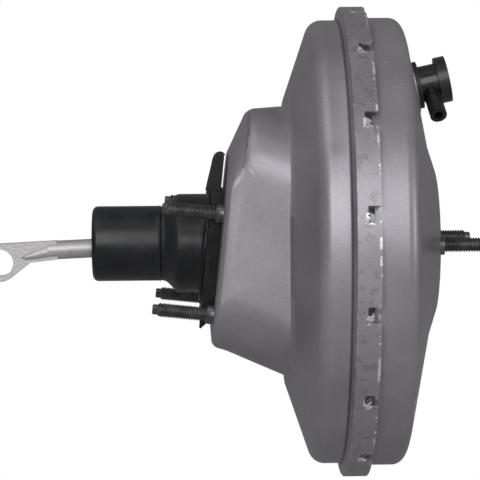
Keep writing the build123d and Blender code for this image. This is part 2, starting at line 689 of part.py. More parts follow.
with BuildPart() as neck_seal:
    seal_rear_x = BEARING_REAR_X + BEARING_LONG + SEAT_GAP
    turned(
        (seal_rear_x, HUB_NECK_R + SEAL_GAP),
        (seal_rear_x, BEARING_R),
        (seal_rear_x + SEAL_LONG, BEARING_R),
        (seal_rear_x + SEAL_LONG, BEARING_R - SEAL_LIP),
        (seal_rear_x + SEAL_LIP, BEARING_R - SEAL_LIP),
        (seal_rear_x + SEAL_LONG, HUB_NECK_R + SEAL_LIP),
        (seal_rear_x + SEAL_LONG, HUB_NECK_R + SEAL_GAP),
    )
save(neck_seal, "neck_seal")

with BuildPart() as seal_ring:
    ring_rear_x = BEARING_REAR_X + BEARING_LONG + SEAL_LONG + 2 * SEAT_GAP
    turned_ring(
        ring_rear_x, ring_rear_x + SEAL_RING_THICK, HUB_NECK_R + SEAL_LIP, BEARING_R
    )
save(seal_ring, "seal_ring")

# Rubber seal round the output rod, and the washer that backs it
with BuildPart() as front_seal:
    turned_ring(
        -SHEET, -SEAL_GAP, OUTPUT_ROD_R + RUNNING, FRONT_SEAL_HOLE_R - SEAT_GAP
    )
    turned_ring(
        -SHEET - SEAT_GAP - FRONT_SEAL_FLANGE_THICK, -SHEET - SEAT_GAP,
        OUTPUT_ROD_R + RUNNING, FRONT_SEAL_FLANGE_R,
    )
    turned_ring(
        -SHEET - 2 * SEAT_GAP, -SHEET,
        OUTPUT_ROD_R + RUNNING, FRONT_SEAL_HOLE_R - SEAT_GAP,
    )
save(front_seal, "front_seal")

with BuildPart() as front_seal_washer:
    turned_ring(
        -FRONT_PLATE_BACK - SEAT_GAP - FRONT_RETAINER_THICK, -FRONT_PLATE_BACK - SEAT_GAP,
        FRONT_RETAINER_IN_R, FRONT_RETAINER_R,
    )
save(front_seal_washer, "front_seal_washer")

# Moulded hub that carries the control valve and slides in the neck
with BuildPart() as valve_hub:
    turned(
        (HUB_NOSE_X, 0),
        (HUB_NOSE_X, HUB_NOSE_R),
        (HUB_FLANGE_REAR_X + HUB_FLANGE_THICK, HUB_NOSE_R),
        (HUB_FLANGE_REAR_X + HUB_FLANGE_THICK, HUB_FLANGE_R),
        (HUB_FLANGE_REAR_X, HUB_FLANGE_R),
        (HUB_FLANGE_REAR_X, HUB_BARREL_R),
        (HUB_BARREL_REAR_X, HUB_BARREL_R),
        (HUB_SHOULDER_X, HUB_NECK_R),
        (HUB_END_X, HUB_NECK_R),
        (HUB_END_X, 0),
    )
    turned_ring(OUTPUT_POCKET_X, HUB_NOSE_X, 0, OUTPUT_POCKET_R, Mode.SUBTRACT)
    turned_ring(
        PLUNGER_STEP_X, OUTPUT_POCKET_X, 0, PLUNGER_NOSE_R + RUNNING, Mode.SUBTRACT
    )
    turned_ring(
        HUB_SEAT_X, PLUNGER_STEP_X + AIR_VALVE_TRAVEL + SEAL_GAP,
        0, PLUNGER_BODY_R + RUNNING, Mode.SUBTRACT,
    )
    turned_ring(HUB_END_X, HUB_SEAT_X, 0, HUB_BORE_R, Mode.SUBTRACT)
    turned_ring(
        HUB_SEAT_X - VACUUM_SEAT_LONG, HUB_SEAT_X,
        VACUUM_SEAT_IN_R, VACUUM_SEAT_OUT_R,
    )
    with BuildSketch(Plane.XY):
        with Locations((KEY_X, 0)):
            Rectangle(KEY_THICK + 2 * BORE_CLEAR, 2 * (KEY_HALF_WIDTH + BORE_CLEAR))
    extrude(amount=HUB_BARREL_R, mode=Mode.SUBTRACT)
save(valve_hub, "valve_hub")

# Key that keeps the plunger in the hub
with BuildPart() as plunger_key:
    with BuildSketch(Plane.XY.offset(KEY_GROOVE_R + SEAL_GAP)):
        with Locations((KEY_X, 0)):
            Rectangle(KEY_THICK, 2 * KEY_HALF_WIDTH)
    extrude(amount=KEY_TOP - KEY_GROOVE_R - SEAL_GAP)
save(plunger_key, "plunger_key")

# Pressed plate and the rubber diaphragm behind it
plate_path = [
    (PLATE_RIM_X + PLATE_LIP, PLATE_RIM_R + PLATE_SHEET),
    (PLATE_RIM_X, PLATE_RIM_R),
    (PLATE_FLAT_X, PLATE_FLAT_R),
    (PLATE_FLAT_X, PLATE_HOLE_R),
]
with BuildPart() as diaphragm_plate:
    turned_strip(plate_path, PLATE_SHEET)
save(diaphragm_plate, "diaphragm_plate")

with BuildPart() as diaphragm:
    turned_strip(
        [
            (BEAD_X, FLANGE_R - BEAD_THICK / 2),
            (BEAD_X, ROLL_R),
            (ROLL_BOTTOM_X, ROLL_R - DIAPHRAGM_THICK),
            (PLATE_RIM_X - DIAPHRAGM_OFFSET, PLATE_RIM_R + PLATE_SHEET),
            (PLATE_FLAT_X - DIAPHRAGM_OFFSET, PLATE_FLAT_R),
            (PLATE_FLAT_X - DIAPHRAGM_OFFSET, PLATE_HOLE_R),
        ],
        DIAPHRAGM_THICK,
    )
    turned_ring(
        PLATE_FLAT_X - DIAPHRAGM_OFFSET - DIAPHRAGM_BEAD, PLATE_FLAT_X - DIAPHRAGM_OFFSET,
        HUB_BARREL_R + BORE_CLEAR, HUB_BARREL_R + DIAPHRAGM_BEAD,
    )
save(diaphragm, "diaphragm")

# Rubber disc and the rod that push the master cylinder
with BuildPart() as reaction_disc:
    turned_ring(OUTPUT_POCKET_X + SEAT_GAP, REACTION_FACE_X, 0, REACTION_R)
save(reaction_disc, "reaction_disc")

with BuildPart() as output_rod:
    head_rear_x = REACTION_FACE_X + SEAT_GAP
    turned(
        (head_rear_x, 0),
        (head_rear_x, OUTPUT_HEAD_R),
        (head_rear_x + OUTPUT_HEAD_THICK, OUTPUT_HEAD_R),
        (head_rear_x + OUTPUT_HEAD_THICK, OUTPUT_FOOT_R),
        (head_rear_x + OUTPUT_HEAD_THICK + OUTPUT_ROD_R, OUTPUT_ROD_R),
        (OUTPUT_TIP_X - OUTPUT_TIP_CHAMFER, OUTPUT_ROD_R),
        (OUTPUT_TIP_X, OUTPUT_ROD_R - OUTPUT_TIP_CHAMFER),
        (OUTPUT_TIP_X, 0),
    )
save(output_rod, "output_rod")

with BuildPart() as rod_retainer:
    turned_ring(
        REACTION_FACE_X + OUTPUT_HEAD_THICK + 2 * SEAT_GAP,
        REACTION_FACE_X + OUTPUT_HEAD_THICK + 2 * SEAT_GAP + ROD_RETAINER_THICK,
        OUTPUT_FOOT_R + SEAL_GAP, OUTPUT_POCKET_R - SEAT_GAP,
    )
save(rod_retainer, "rod_retainer")

# Plunger with the seat that meets the poppet and the socket for the ball
with BuildPart() as air_valve_plunger:
    turned(
        (PLUNGER_TIP_X, 0),
        (PLUNGER_TIP_X, PLUNGER_NOSE_R),
        (PLUNGER_STEP_X, PLUNGER_NOSE_R),
        (PLUNGER_STEP_X, PLUNGER_BODY_R),
        (KEY_FRONT_X + SEAT_GAP, PLUNGER_BODY_R),
        (KEY_FRONT_X + SEAT_GAP, KEY_GROOVE_R),
        (KEY_REAR_X - AIR_VALVE_TRAVEL - BORE_CLEAR, KEY_GROOVE_R),
        (KEY_REAR_X - AIR_VALVE_TRAVEL - BORE_CLEAR, PLUNGER_BODY_R),
        (PLUNGER_SEAT_X + PLUNGER_SEAT_THICK, PLUNGER_BODY_R),
        (PLUNGER_SEAT_X + PLUNGER_SEAT_THICK, PLUNGER_SEAT_R),
        (PLUNGER_SEAT_X, PLUNGER_SEAT_R),
        (PLUNGER_SEAT_X, PLUNGER_SKIRT_R),
        (PLUNGER_SKIRT_END_X, PLUNGER_SKIRT_R),
        (PLUNGER_SKIRT_END_X, 0),
    )
    with Locations((BALL_X, 0, 0)):
        Sphere(BALL_R + BALL_CLEAR, mode=Mode.SUBTRACT)
    turned_ring(
        PLUNGER_SKIRT_END_X, BALL_X, 0, SOCKET_MOUTH_R, Mode.SUBTRACT
    )
save(air_valve_plunger, "air_valve_plunger")

# Poppet valve, its retainer and the two springs of the control valve
with BuildPart() as poppet_valve:
    turned(
        (POPPET_FACE_X, POPPET_IN_R),
        (POPPET_FACE_X, POPPET_OUT_R),
        (POPPET_END_X, POPPET_OUT_R),
        (POPPET_END_X, POPPET_SLEEVE_IN_R),
        (POPPET_FACE_X - POPPET_FACE_THICK, POPPET_SLEEVE_IN_R),
        (POPPET_FACE_X - POPPET_FACE_THICK, POPPET_IN_R),
    )
save(poppet_valve, "poppet_valve")

with BuildPart() as poppet_retainer:
    turned(
        (RETAINER_FACE_X, RETAINER_IN_R),
        (RETAINER_FACE_X, POPPET_COIL_R - POPPET_WIRE_R),
        (RETAINER_FACE_X + RETAINER_LIP, POPPET_COIL_R - POPPET_WIRE_R),
        (RETAINER_FACE_X + RETAINER_LIP, POPPET_SLEEVE_IN_R - SEAT_GAP),
        (RETAINER_FACE_X, POPPET_SLEEVE_IN_R - SEAT_GAP),
        (RETAINER_FACE_X, HUB_BORE_R - SEAT_GAP),
        (RETAINER_FACE_X - RETAINER_THICK, HUB_BORE_R - SEAT_GAP),
        (RETAINER_FACE_X - RETAINER_THICK, RETAINER_IN_R),
    )
save(poppet_retainer, "poppet_retainer")

with BuildPart() as poppet_spring:
    coil(
        Plane.YZ, POPPET_COIL_R, POPPET_WIRE_R,
        RETAINER_FACE_X + RETAINER_LIP + SEAT_GAP,
        POPPET_FACE_X - POPPET_FACE_THICK - SEAT_GAP, POPPET_TURNS,
    )
save(poppet_spring, "poppet_spring")

with BuildPart() as pedal_rod_spring:
    coil(
        Plane.YZ, ROD_COIL_R, ROD_WIRE_R,
        CUP_X + CUP_THICK, RETAINER_FACE_X - RETAINER_THICK - SEAT_GAP, ROD_TURNS,
    )
save(pedal_rod_spring, "pedal_rod_spring")

# Air filter: felt outside, foam inside
with BuildPart() as felt_filter:
    turned_ring(
        HUB_END_X + BORE_CLEAR, HUB_END_X + BORE_CLEAR + FELT_THICK,
        FILTER_IN_R, HUB_BORE_R - BORE_CLEAR,
    )
save(felt_filter, "felt_filter")

with BuildPart() as foam_filter:
    turned_ring(
        HUB_END_X + 2 * BORE_CLEAR + FELT_THICK,
        HUB_END_X + 2 * BORE_CLEAR + FELT_THICK + FOAM_THICK,
        FILTER_IN_R, HUB_BORE_R - BORE_CLEAR,
    )
save(foam_filter, "foam_filter")

# Spring between the front shell and the diaphragm plate
with BuildPart() as return_spring:
    coil(
        Plane.YZ, RETURN_COIL_R, RETURN_WIRE_R,
        PLATE_FLAT_X + PLATE_SHEET / 2 + SEAT_GAP,
        front_x(RETURN_COIL_R + RETURN_WIRE_R) - STIFFENER_BACK - SEAL_GAP,
        RETURN_TURNS,
    )
save(return_spring, "return_spring")

# Forged pedal rod: ball, shaft, flattened web and eye
with BuildPart() as pedal_rod:
    with Locations((BALL_X, 0, 0)):
        Sphere(BALL_R)
    rod_axis = Plane(origin=(BALL_X, 0, 0), x_dir=(0, 1, 0), z_dir=ROD_HEADING)
    disc(rod_axis, ROD_NECK_R, 0, ROD_NECK_LONG)
    disc(rod_axis, ROD_R, ROD_NECK_LONG, ROD_SHAFT_LONG)
    with BuildSketch(ROD_PLANE.offset(-EYE_HALF_THICK)) as web:
        with BuildLine():
            Polyline(
                (ROD_SHAFT_LONG - ROD_R, ROD_R),
                (EYE_ALONG, -EYE_DROP + EYE_R),
                (EYE_ALONG, -EYE_DROP),
                (EYE_ALONG - EYE_R / 2, -EYE_DROP - EYE_R * sqrt(3) / 2),
                (WEB_WAIST, -ROD_R - 1),
                (ROD_SHAFT_LONG - ROD_R, -ROD_R),
                close=True,
            )
        make_face()
        with Locations((EYE_ALONG, -EYE_DROP)):
            Circle(EYE_R)
            Circle(EYE_BORE_R, mode=Mode.SUBTRACT)
    extrude(amount=2 * EYE_HALF_THICK)
save(pedal_rod, "pedal_rod")

with BuildPart() as rod_spring_cup:
    cup_along = BALL_X - CUP_X
    disc(rod_axis, CUP_R, cup_along, cup_along + CUP_THICK)
    disc(rod_axis, ROD_R + SEAT_GAP, cup_along, cup_along + CUP_THICK, Mode.SUBTRACT)
save(rod_spring_cup, "rod_spring_cup")

# Rubber grommet in the front shell
with BuildPart() as valve_grommet:
    disc(VALVE_PLANE, GROMMET_R, VALVE_SEAT_HEIGHT + SEAT_GAP, GROMMET_TOP)
    disc(
        VALVE_PLANE, VALVE_HOLE_R - SEAT_GAP,
        VALVE_SEAT_HEIGHT - SHEET - SEAT_GAP, VALVE_SEAT_HEIGHT + SEAT_GAP,
    )
    disc(
        VALVE_PLANE, GROMMET_INNER_R,
        VALVE_SEAT_HEIGHT - SHEET - SEAT_GAP - GROMMET_INNER_THICK,
        VALVE_SEAT_HEIGHT - SHEET - SEAT_GAP,
    )
    disc(VALVE_PLANE, VALVE_STEM_R + RUNNING, -GROMMET_R, GROMMET_TOP, Mode.SUBTRACT)
save(valve_grommet, "valve_grommet")

# Check valve: body with stem and hose nipple
with BuildPart() as check_valve_body:
    disc(VALVE_PLANE, VALVE_STEM_R, GROMMET_TOP - VALVE_STEM_LONG, GROMMET_TOP + 1)
    disc(VALVE_PLANE, VALVE_BODY_R, GROMMET_TOP + SEAT_GAP, BODY_TOP)
    disc(nipple_plane, NIPPLE_ROOT_R, 0, NIPPLE_ROOT_REACH)
    disc(nipple_plane, NIPPLE_R, 0, NIPPLE_REACH)
    disc(nipple_plane, NIPPLE_BORE_R, 0, NIPPLE_REACH, Mode.SUBTRACT)
    disc(VALVE_PLANE, VALVE_CHAMBER_R, CHAMBER_FLOOR, BODY_TOP, Mode.SUBTRACT)
    disc(VALVE_PLANE, VALVE_PORT_R, GROMMET_TOP - VALVE_STEM_LONG, BODY_TOP, Mode.SUBTRACT)
save(check_valve_body, "check_valve_body")

with BuildPart() as check_valve_cap:
    disc(VALVE_PLANE, VALVE_CAP_R, BODY_TOP + SEAT_GAP, BODY_TOP + VALVE_CAP_THICK)
    disc(
        VALVE_PLANE, VALVE_CHAMBER_R - SEAT_GAP,
        BODY_TOP - VALVE_CAP_PLUG, BODY_TOP + SEAT_GAP,
    )
save(check_valve_cap, "check_valve_cap")

# Disc and spring inside the check valve
with BuildPart() as check_disc:
    disc(
        VALVE_PLANE, CHECK_DISC_R,
        CHAMBER_FLOOR + SEAT_GAP, CHAMBER_FLOOR + SEAT_GAP + CHECK_DISC_THICK,
    )
save(check_disc, "check_disc")

with BuildPart() as check_spring:
    coil(
        VALVE_PLANE, CHECK_COIL_R, CHECK_WIRE_R,
        CHAMBER_FLOOR + 2 * SEAT_GAP + CHECK_DISC_THICK,
        BODY_TOP - VALVE_CAP_PLUG - SEAT_GAP, CHECK_TURNS,
    )
save(check_spring, "check_spring")
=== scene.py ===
"""Vacuum brake booster: the finished surfaces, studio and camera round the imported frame.

Everything is in metres in the frame of the CAD model: +X forward to the master
cylinder, +Z up, and the camera on the -Y side. Sizes of the pieces are written in
millimetres and turned into metres where a mesh is made.
"""

from __future__ import annotations

import json
import logging
import math
from dataclasses import dataclass, field, replace
from enum import Enum
from typing import Any, Callable, Sequence

import bmesh
import bpy
from mathutils import Matrix, Vector

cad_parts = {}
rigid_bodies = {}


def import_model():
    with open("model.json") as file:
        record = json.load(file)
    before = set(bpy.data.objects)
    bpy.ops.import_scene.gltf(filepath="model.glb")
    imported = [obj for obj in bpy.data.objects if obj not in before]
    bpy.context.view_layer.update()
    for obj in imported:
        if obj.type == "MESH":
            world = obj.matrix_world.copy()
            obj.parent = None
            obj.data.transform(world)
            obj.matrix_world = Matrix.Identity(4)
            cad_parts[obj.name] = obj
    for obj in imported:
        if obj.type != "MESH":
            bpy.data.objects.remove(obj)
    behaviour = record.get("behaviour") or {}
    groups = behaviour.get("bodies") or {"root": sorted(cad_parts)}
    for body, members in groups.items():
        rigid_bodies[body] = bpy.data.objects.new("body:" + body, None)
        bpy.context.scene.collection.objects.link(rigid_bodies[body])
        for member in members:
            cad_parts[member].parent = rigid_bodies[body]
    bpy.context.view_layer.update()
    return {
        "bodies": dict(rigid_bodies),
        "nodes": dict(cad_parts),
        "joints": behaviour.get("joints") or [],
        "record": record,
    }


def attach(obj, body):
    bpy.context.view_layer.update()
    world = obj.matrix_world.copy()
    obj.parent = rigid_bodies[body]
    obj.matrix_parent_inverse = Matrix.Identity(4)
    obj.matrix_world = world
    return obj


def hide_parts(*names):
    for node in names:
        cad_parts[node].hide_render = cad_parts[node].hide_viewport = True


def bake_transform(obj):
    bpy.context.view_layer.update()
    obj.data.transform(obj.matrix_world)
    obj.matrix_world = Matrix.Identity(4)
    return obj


LOG = logging.getLogger("booster")
MM = 0.001

Colour = tuple[float, float, float]
Ring = tuple[float, float]


class Body(str, Enum):
    """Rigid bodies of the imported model."""

    HOUSING = "housing"
    PISTON = "power_piston"
    AIR_VALVE = "air_valve"
    INPUT_ROD = "input_rod"
    VALVE_DISC = "valve_disc"


class Slot(str, Enum):
    """Names of the record's material slots."""

    SHELL = "shell_steel"
    STUD = "stud_steel"
    SPRING = "spring_steel"
    FORGING = "rod_forging"
    BRACKET = "black_sheet"
    BOOT = "boot_rubber"


# ---- shader building blocks


class NodeTree:
    """Short calls for adding and joining the nodes of one tree."""

    def __init__(self, tree: bpy.types.NodeTree) -> None:
        """Keep the tree that the calls work on.

        Args:
            tree: the shader or geometry tree.
        """
        self.tree = tree

    def node(self, kind: str, inputs: dict[Any, Any] | None = None, **settings: Any) -> bpy.types.Node:
        """Add one node.

        Args:
            kind: the node's type name.
            inputs: values or sockets by input name or number.
            **settings: properties of the node itself.

        Returns:
            The new node.
        """
        made = self.tree.nodes.new(kind)
        for key, value in settings.items():
            setattr(made, key, value)
        for key, value in (inputs or {}).items():
            self.feed(value, made.inputs[key])
        return made

    def feed(self, value: Any, socket: bpy.types.NodeSocket) -> None:
        """Set an input's value, or join it where the value is a socket."""
        if isinstance(value, bpy.types.NodeSocket):
            self.tree.links.new(value, socket)
        else:
            socket.default_value = value

    def maths(self, operation: str, *values: Any, clamp: bool = False) -> bpy.types.NodeSocket:
        """Add a Math node in a shader or geometry tree and return its result."""
        inputs = dict(enumerate(values))
        return self.node("ShaderNodeMath", inputs, operation=operation, use_clamp=clamp).outputs[0]

    def step(self, value: Any, low: float, high: float) -> bpy.types.NodeSocket:
        """Return 0 below low, 1 above high and a smooth rise between them."""
        made = self.node(
            "ShaderNodeMapRange",
            {"Value": value, "From Min": low, "From Max": high},
            interpolation_type="SMOOTHSTEP",
        )
        return made.outputs["Result"]

    def band(self, value: Any, low: float, high: float, soft: float) -> bpy.types.NodeSocket:
        """Return 1 between two values, with soft edges."""
        rise = self.step(value, low - soft, low + soft)
        fall = self.step(value, high - soft, high + soft)
        return self.maths("SUBTRACT", rise, fall, clamp=True)

    def mix(self, share: Any, first: Any, second: Any) -> bpy.types.NodeSocket:
        """Mix two colours and return the result."""
        made = self.node("ShaderNodeMix", data_type="RGBA")
        self.feed(share, made.inputs["Factor"])
        for value, socket in ((first, made.inputs[6]), (second, made.inputs[7])):
            self.feed((*value, 1.0) if isinstance(value, tuple) else value, socket)
        return made.outputs[2]


class Effect(NodeTree):
    """A shader node group with named inputs and outputs, built once."""

    def __init__(self, name: str, inputs: dict[str, float], outputs: Sequence[str]) -> None:
        """Open an empty group.

        Args:
            name: the group's name.
            inputs: default value of each number input. Every group also reads Vector.
            outputs: names of the number outputs.
        """
        super().__init__(bpy.data.node_groups.new(name, "ShaderNodeTree"))
        face = self.tree.interface
        face.new_socket("Vector", in_out="INPUT", socket_type="NodeSocketVector")
        for key, value in inputs.items():
            face.new_socket(key, in_out="INPUT", socket_type="NodeSocketFloat").default_value = value
        for key in outputs:
            face.new_socket(key, in_out="OUTPUT", socket_type="NodeSocketFloat")
        self.given = self.node("NodeGroupInput").outputs
        self.result = self.node("NodeGroupOutput").inputs

    def noise(self, scale: Any, detail: float = 4.0, rough: float = 0.55, vector: Any = None) -> bpy.types.NodeSocket:
        """Add a noise texture on the group's vector and return its value."""
        source = self.given["Vector"] if vector is None else vector
        inputs = {"Vector": source, "Scale": scale, "Detail": detail, "Roughness": rough}
        return self.node("ShaderNodeTexNoise", inputs).outputs[0]


class Effects:
    """The shared shader groups of the booster."""

    def __init__(self) -> None:
        """Build every group."""
        self.mottle = self._mottle()
        self.grain = self._grain()
        self.scratches = self._scratches()
        self.places = self._places()

    @staticmethod
    def _mottle() -> bpy.types.NodeTree:
        """Soft clouds of a second tone."""
        made = Effect("mottle", {"Scale": 30.0, "Low": 0.4, "High": 0.6}, ["Mask"])
        value = made.noise(made.given["Scale"])
        spread = made.node(
            "ShaderNodeMapRange",
            {"Value": value, "From Min": made.given["Low"], "From Max": made.given["High"]},
            interpolation_type="SMOOTHSTEP",
        )
        made.feed(spread.outputs["Result"], made.result["Mask"])
        return made.tree

    @staticmethod
    def _grain() -> bpy.types.NodeTree:
        """Fine height of sprayed paint, moulded rubber or a forging."""
        made = Effect("grain", {"Scale": 900.0, "Lumps": 0.3}, ["Height"])
        fine = made.noise(made.given["Scale"], 2.0, 0.5)
        coarse = made.noise(made.maths("MULTIPLY", made.given["Scale"], 0.12), 2.0, 0.5)
        height = made.maths("MULTIPLY_ADD", coarse, made.given["Lumps"], fine)
        made.feed(height, made.result["Height"])
        return made.tree

    @staticmethod
    def _scratches() -> bpy.types.NodeTree:
        """Thin broken lines along the vector's first axis."""
        made = Effect("scratches", {"Scale": 60.0, "Stretch": 14.0, "Amount": 0.5}, ["Mask"])
        split = made.node("ShaderNodeSeparateXYZ", {0: made.given["Vector"]}).outputs
        across = [made.maths("MULTIPLY", split[k], made.given["Stretch"]) for k in (1, 2)]
        stretched = made.node("ShaderNodeCombineXYZ", {0: split[0], 1: across[0], 2: across[1]}).outputs[0]
        line = made.noise(made.given["Scale"], 3.0, 0.6, stretched)
        patch = made.noise(made.maths("MULTIPLY", made.given["Scale"], 0.5), 2.0, 0.5)
        edge = made.maths("SUBTRACT", 1.0, made.maths("MULTIPLY", made.given["Amount"], 0.4))
        thin = made.maths("GREATER_THAN", line, made.maths("SUBTRACT", edge, 0.13))
        broken = made.step(patch, 0.5, 0.6)
        made.feed(made.maths("MULTIPLY", thin, broken), made.result["Mask"])
        return made.tree

    @staticmethod
    def _places() -> bpy.types.NodeTree:
        """Station along the booster's axis and radius from it, in millimetres."""
        made = Effect("places", {}, ["Station", "Radius", "Turn"])
        split = made.node("ShaderNodeSeparateXYZ", {0: made.given["Vector"]}).outputs
        across = made.node("ShaderNodeCombineXYZ", {1: split[1], 2: split[2]}).outputs[0]
        length = made.node("ShaderNodeVectorMath", {0: across}, operation="LENGTH").outputs["Value"]
        made.feed(made.maths("DIVIDE", split[0], MM), made.result["Station"])
        made.feed(made.maths("DIVIDE", length, MM), made.result["Radius"])
        made.feed(made.maths("ARCTAN2", split[2], split[1]), made.result["Turn"])
        return made.tree


class Finish(NodeTree):
    """A material with its Principled shader, object coordinates and bump."""

    def __init__(self, name: str, constants: dict[str, Any]) -> None:
        """Make the material and set its plain numbers on the shader.

        Args:
            name: the material's name.
            constants: plain values by the shader's input names.
        """
        self.material = bpy.data.materials.new(name)
        self.material.use_nodes = True
        super().__init__(self.material.node_tree)
        self.shader = self.tree.nodes["Principled BSDF"]
        for key, value in constants.items():
            self.shader.inputs[key].default_value = (*value, 1.0) if isinstance(value, tuple) else value
        self.place = self.node("ShaderNodeTexCoord").outputs["Object"]

    def effect(self, group: bpy.types.NodeTree, **values: float) -> Any:
        """Place a shared group on object coordinates and return its outputs."""
        inputs = {"Vector": self.place, **values}
        made = self.tree.nodes.new("ShaderNodeGroup")
        made.node_tree = group
        for key, value in inputs.items():
            self.feed(value, made.inputs[key])
        return made.outputs

    def colour(self, value: Any) -> None:
        """Feed the base colour."""
        self.feed(value, self.shader.inputs["Base Color"])

    def rough(self, share: Any, low: float, high: float) -> None:
        """Feed the roughness from a mask between two values."""
        spread = self.node("ShaderNodeMapRange", {"Value": share, "To Min": low, "To Max": high})
        self.feed(spread.outputs["Result"], self.shader.inputs["Roughness"])

    def bump(self, height: Any, strength: float, depth_mm: float) -> None:
        """Feed the normal from a height."""
        made = self.node("ShaderNodeBump", {"Height": height, "Strength": strength, "Distance": depth_mm * MM})
        self.feed(made.outputs["Normal"], self.shader.inputs["Normal"])


# ---- finishes


@dataclass(frozen=True)
class ShellPaint:
    """Silver stoving paint on the pressed shells, chipped to the steel on its edges, with some painted shade and
    highlight.
    """

    name: str = "shell_paint"
    pale: Colour = (0.345, 0.322, 0.358)
    dark: Colour = (0.285, 0.265, 0.297)
    bare: Colour = (0.78, 0.78, 0.78)
    grime: Colour = (0.17, 0.16, 0.175)
    lances: int = 16
    lance_phase: float = 9.3
    shadow: Colour = (0.03, 0.028, 0.03)
    slot_shade_span: tuple[float, float] = (-0.072, 0.040)
    slot_shade_stations: tuple[float, float] = (-48.3, -44.2)
    chip_span: tuple[float, float] = (-0.012, 0.100)
    chip_stations: tuple[float, float] = (-49.2, -44.4)
    rim_stations: tuple[float, float] = (-53.6, -42.5)
    seam_shade_stations: tuple[float, float] = (-56.4, -54.9)

    def build(self, effects: Effects) -> bpy.types.Material:
        """Make the material.

        Args:
            effects: the shared groups.

        Returns:
            The finished material.
        """
        made = Finish(self.name, {"Metallic": 0.45, "IOR": 1.45})
        clouds = made.effect(effects.mottle, Scale=20.0, Low=0.36, High=0.64)["Mask"]
        specks = made.effect(effects.mottle, Scale=1500.0, Low=0.40, High=0.66)["Mask"]
        paint = made.mix(clouds, self.dark, self.pale)
        paint = made.mix(made.maths("MULTIPLY", specks, 0.10), paint, self.bare)
        stains = made.effect(effects.mottle, Scale=48.0, Low=0.64, High=0.78)["Mask"]
        paint = made.mix(made.maths("MULTIPLY", stains, 0.28), paint, self.grime)
        places = made.effect(effects.places)
        blotches = made.effect(effects.mottle, Scale=230.0, Low=0.53, High=0.64)["Mask"]
        rim = made.band(places["Station"], *self.rim_stations, 0.4)
        paint = made.mix(made.maths("MULTIPLY", made.maths("MULTIPLY", blotches, rim), 0.45), paint, self.grime)
        # Painted shade: a near-black band in the seam on the drum just behind the rim's rear edge.
        seam = made.band(places["Station"], *self.seam_shade_stations, 0.5)
        paint = made.mix(made.maths("MULTIPLY", seam, 0.75), paint, self.shadow)
        chips = made.effect(effects.mottle, Scale=190.0, Low=0.575, High=0.60)["Mask"]
        torn = made.effect(effects.mottle, Scale=420.0, Low=0.47, High=0.50)["Mask"]
        edges = [
            made.maths(
                "MULTIPLY",
                made.band(places["Station"], -21.0, -13.5, 1.0),
                made.band(places["Radius"], 117.0, 127.0, 1.5),
            ),
            # The rim's free edge: worn to bare steel and partly a painted highlight along its raised edge.
            made.band(places["Station"], -42.4, -40.9, 0.2),
            made.maths("MULTIPLY", made.band(places["Station"], -54.4, -53.2, 0.3), 0.3),
        ]
        rubbed = made.effect(effects.mottle, Scale=17.0, Low=0.50, High=0.62)["Mask"]
        edges[0] = made.maths("MULTIPLY", edges[0], rubbed)
        near_edge = made.maths("MAXIMUM", made.maths("MAXIMUM", edges[0], edges[1]), edges[2])
        # Partly wear and partly a painted highlight along the rim's free edge.
        rim_edge_wear_and_highlight = made.effect(effects.mottle, Scale=110.0, Low=0.54, High=0.58)["Mask"]
        bare = made.maths("MAXIMUM", made.maths("MULTIPLY", chips, near_edge), made.maths("MULTIPLY", made.maths("MULTIPLY", rim_edge_wear_and_highlight, edges[1]), 0.75))
        turns = made.maths("MULTIPLY_ADD", places["Turn"], self.lances / math.tau, self.lance_phase / 360 * self.lances)
        off_lance = made.maths("SUBTRACT", made.maths("FRACT", made.maths("ADD", turns, 0.5)), 0.5)
        chipped = made.maths("MULTIPLY", made.band(off_lance, *self.chip_span, 0.012), torn)
        cut_edge = made.maths("MULTIPLY", chipped, made.band(places["Station"], *self.chip_stations, 0.3))
        # Painted shade: the lance openings painted near black, the way the shade inside the slots would look.
        opening = made.maths("MULTIPLY", made.band(off_lance, *self.slot_shade_span, 0.010),
                             made.band(places["Station"], *self.slot_shade_stations, 0.25))
        paint = made.mix(made.maths("MULTIPLY", opening, 0.92), paint, self.shadow)
        bare = made.maths("MAXIMUM", bare, cut_edge)
        scuffs = made.effect(effects.scratches, Scale=34.0, Stretch=9.0, Amount=0.42)["Mask"]
        bare = made.maths("MAXIMUM", bare, made.maths("MULTIPLY", scuffs, 0.35))
        made.colour(made.mix(bare, paint, self.bare))
        made.rough(clouds, 0.36, 0.44)
        grain = made.effect(effects.grain, Scale=1500.0, Lumps=0.6)["Height"]
        made.bump(grain, 0.12, 0.25)
        return made.material


@dataclass(frozen=True)
class PlainFinish:
    """A finish of two tones with a fine grain."""

    name: str
    first: Colour
    second: Colour
    cloud_scale: float
    rough: tuple[float, float]
    grain_scale: float
    grain_depth: float
    metallic: float = 0.0
    lumps: float = 0.4
    sheen: float = 0.0
    specular: float = 0.5

    def build(self, effects: Effects) -> bpy.types.Material:
        """Make the material.

        Args:
            effects: the shared groups.

        Returns:
            The finished material.
        """
        constants = {
            "Metallic": self.metallic,
            "Sheen Weight": self.sheen,
            "Specular IOR Level": self.specular,
        }
        made = Finish(self.name, constants)
        clouds = made.effect(effects.mottle, Scale=self.cloud_scale, Low=0.35, High=0.65)["Mask"]
        made.colour(made.mix(clouds, self.first, self.second))
        made.rough(clouds, *self.rough)
        grain = made.effect(effects.grain, Scale=self.grain_scale, Lumps=self.lumps)["Height"]
        made.bump(grain, 0.35, self.grain_depth)
        return made.material


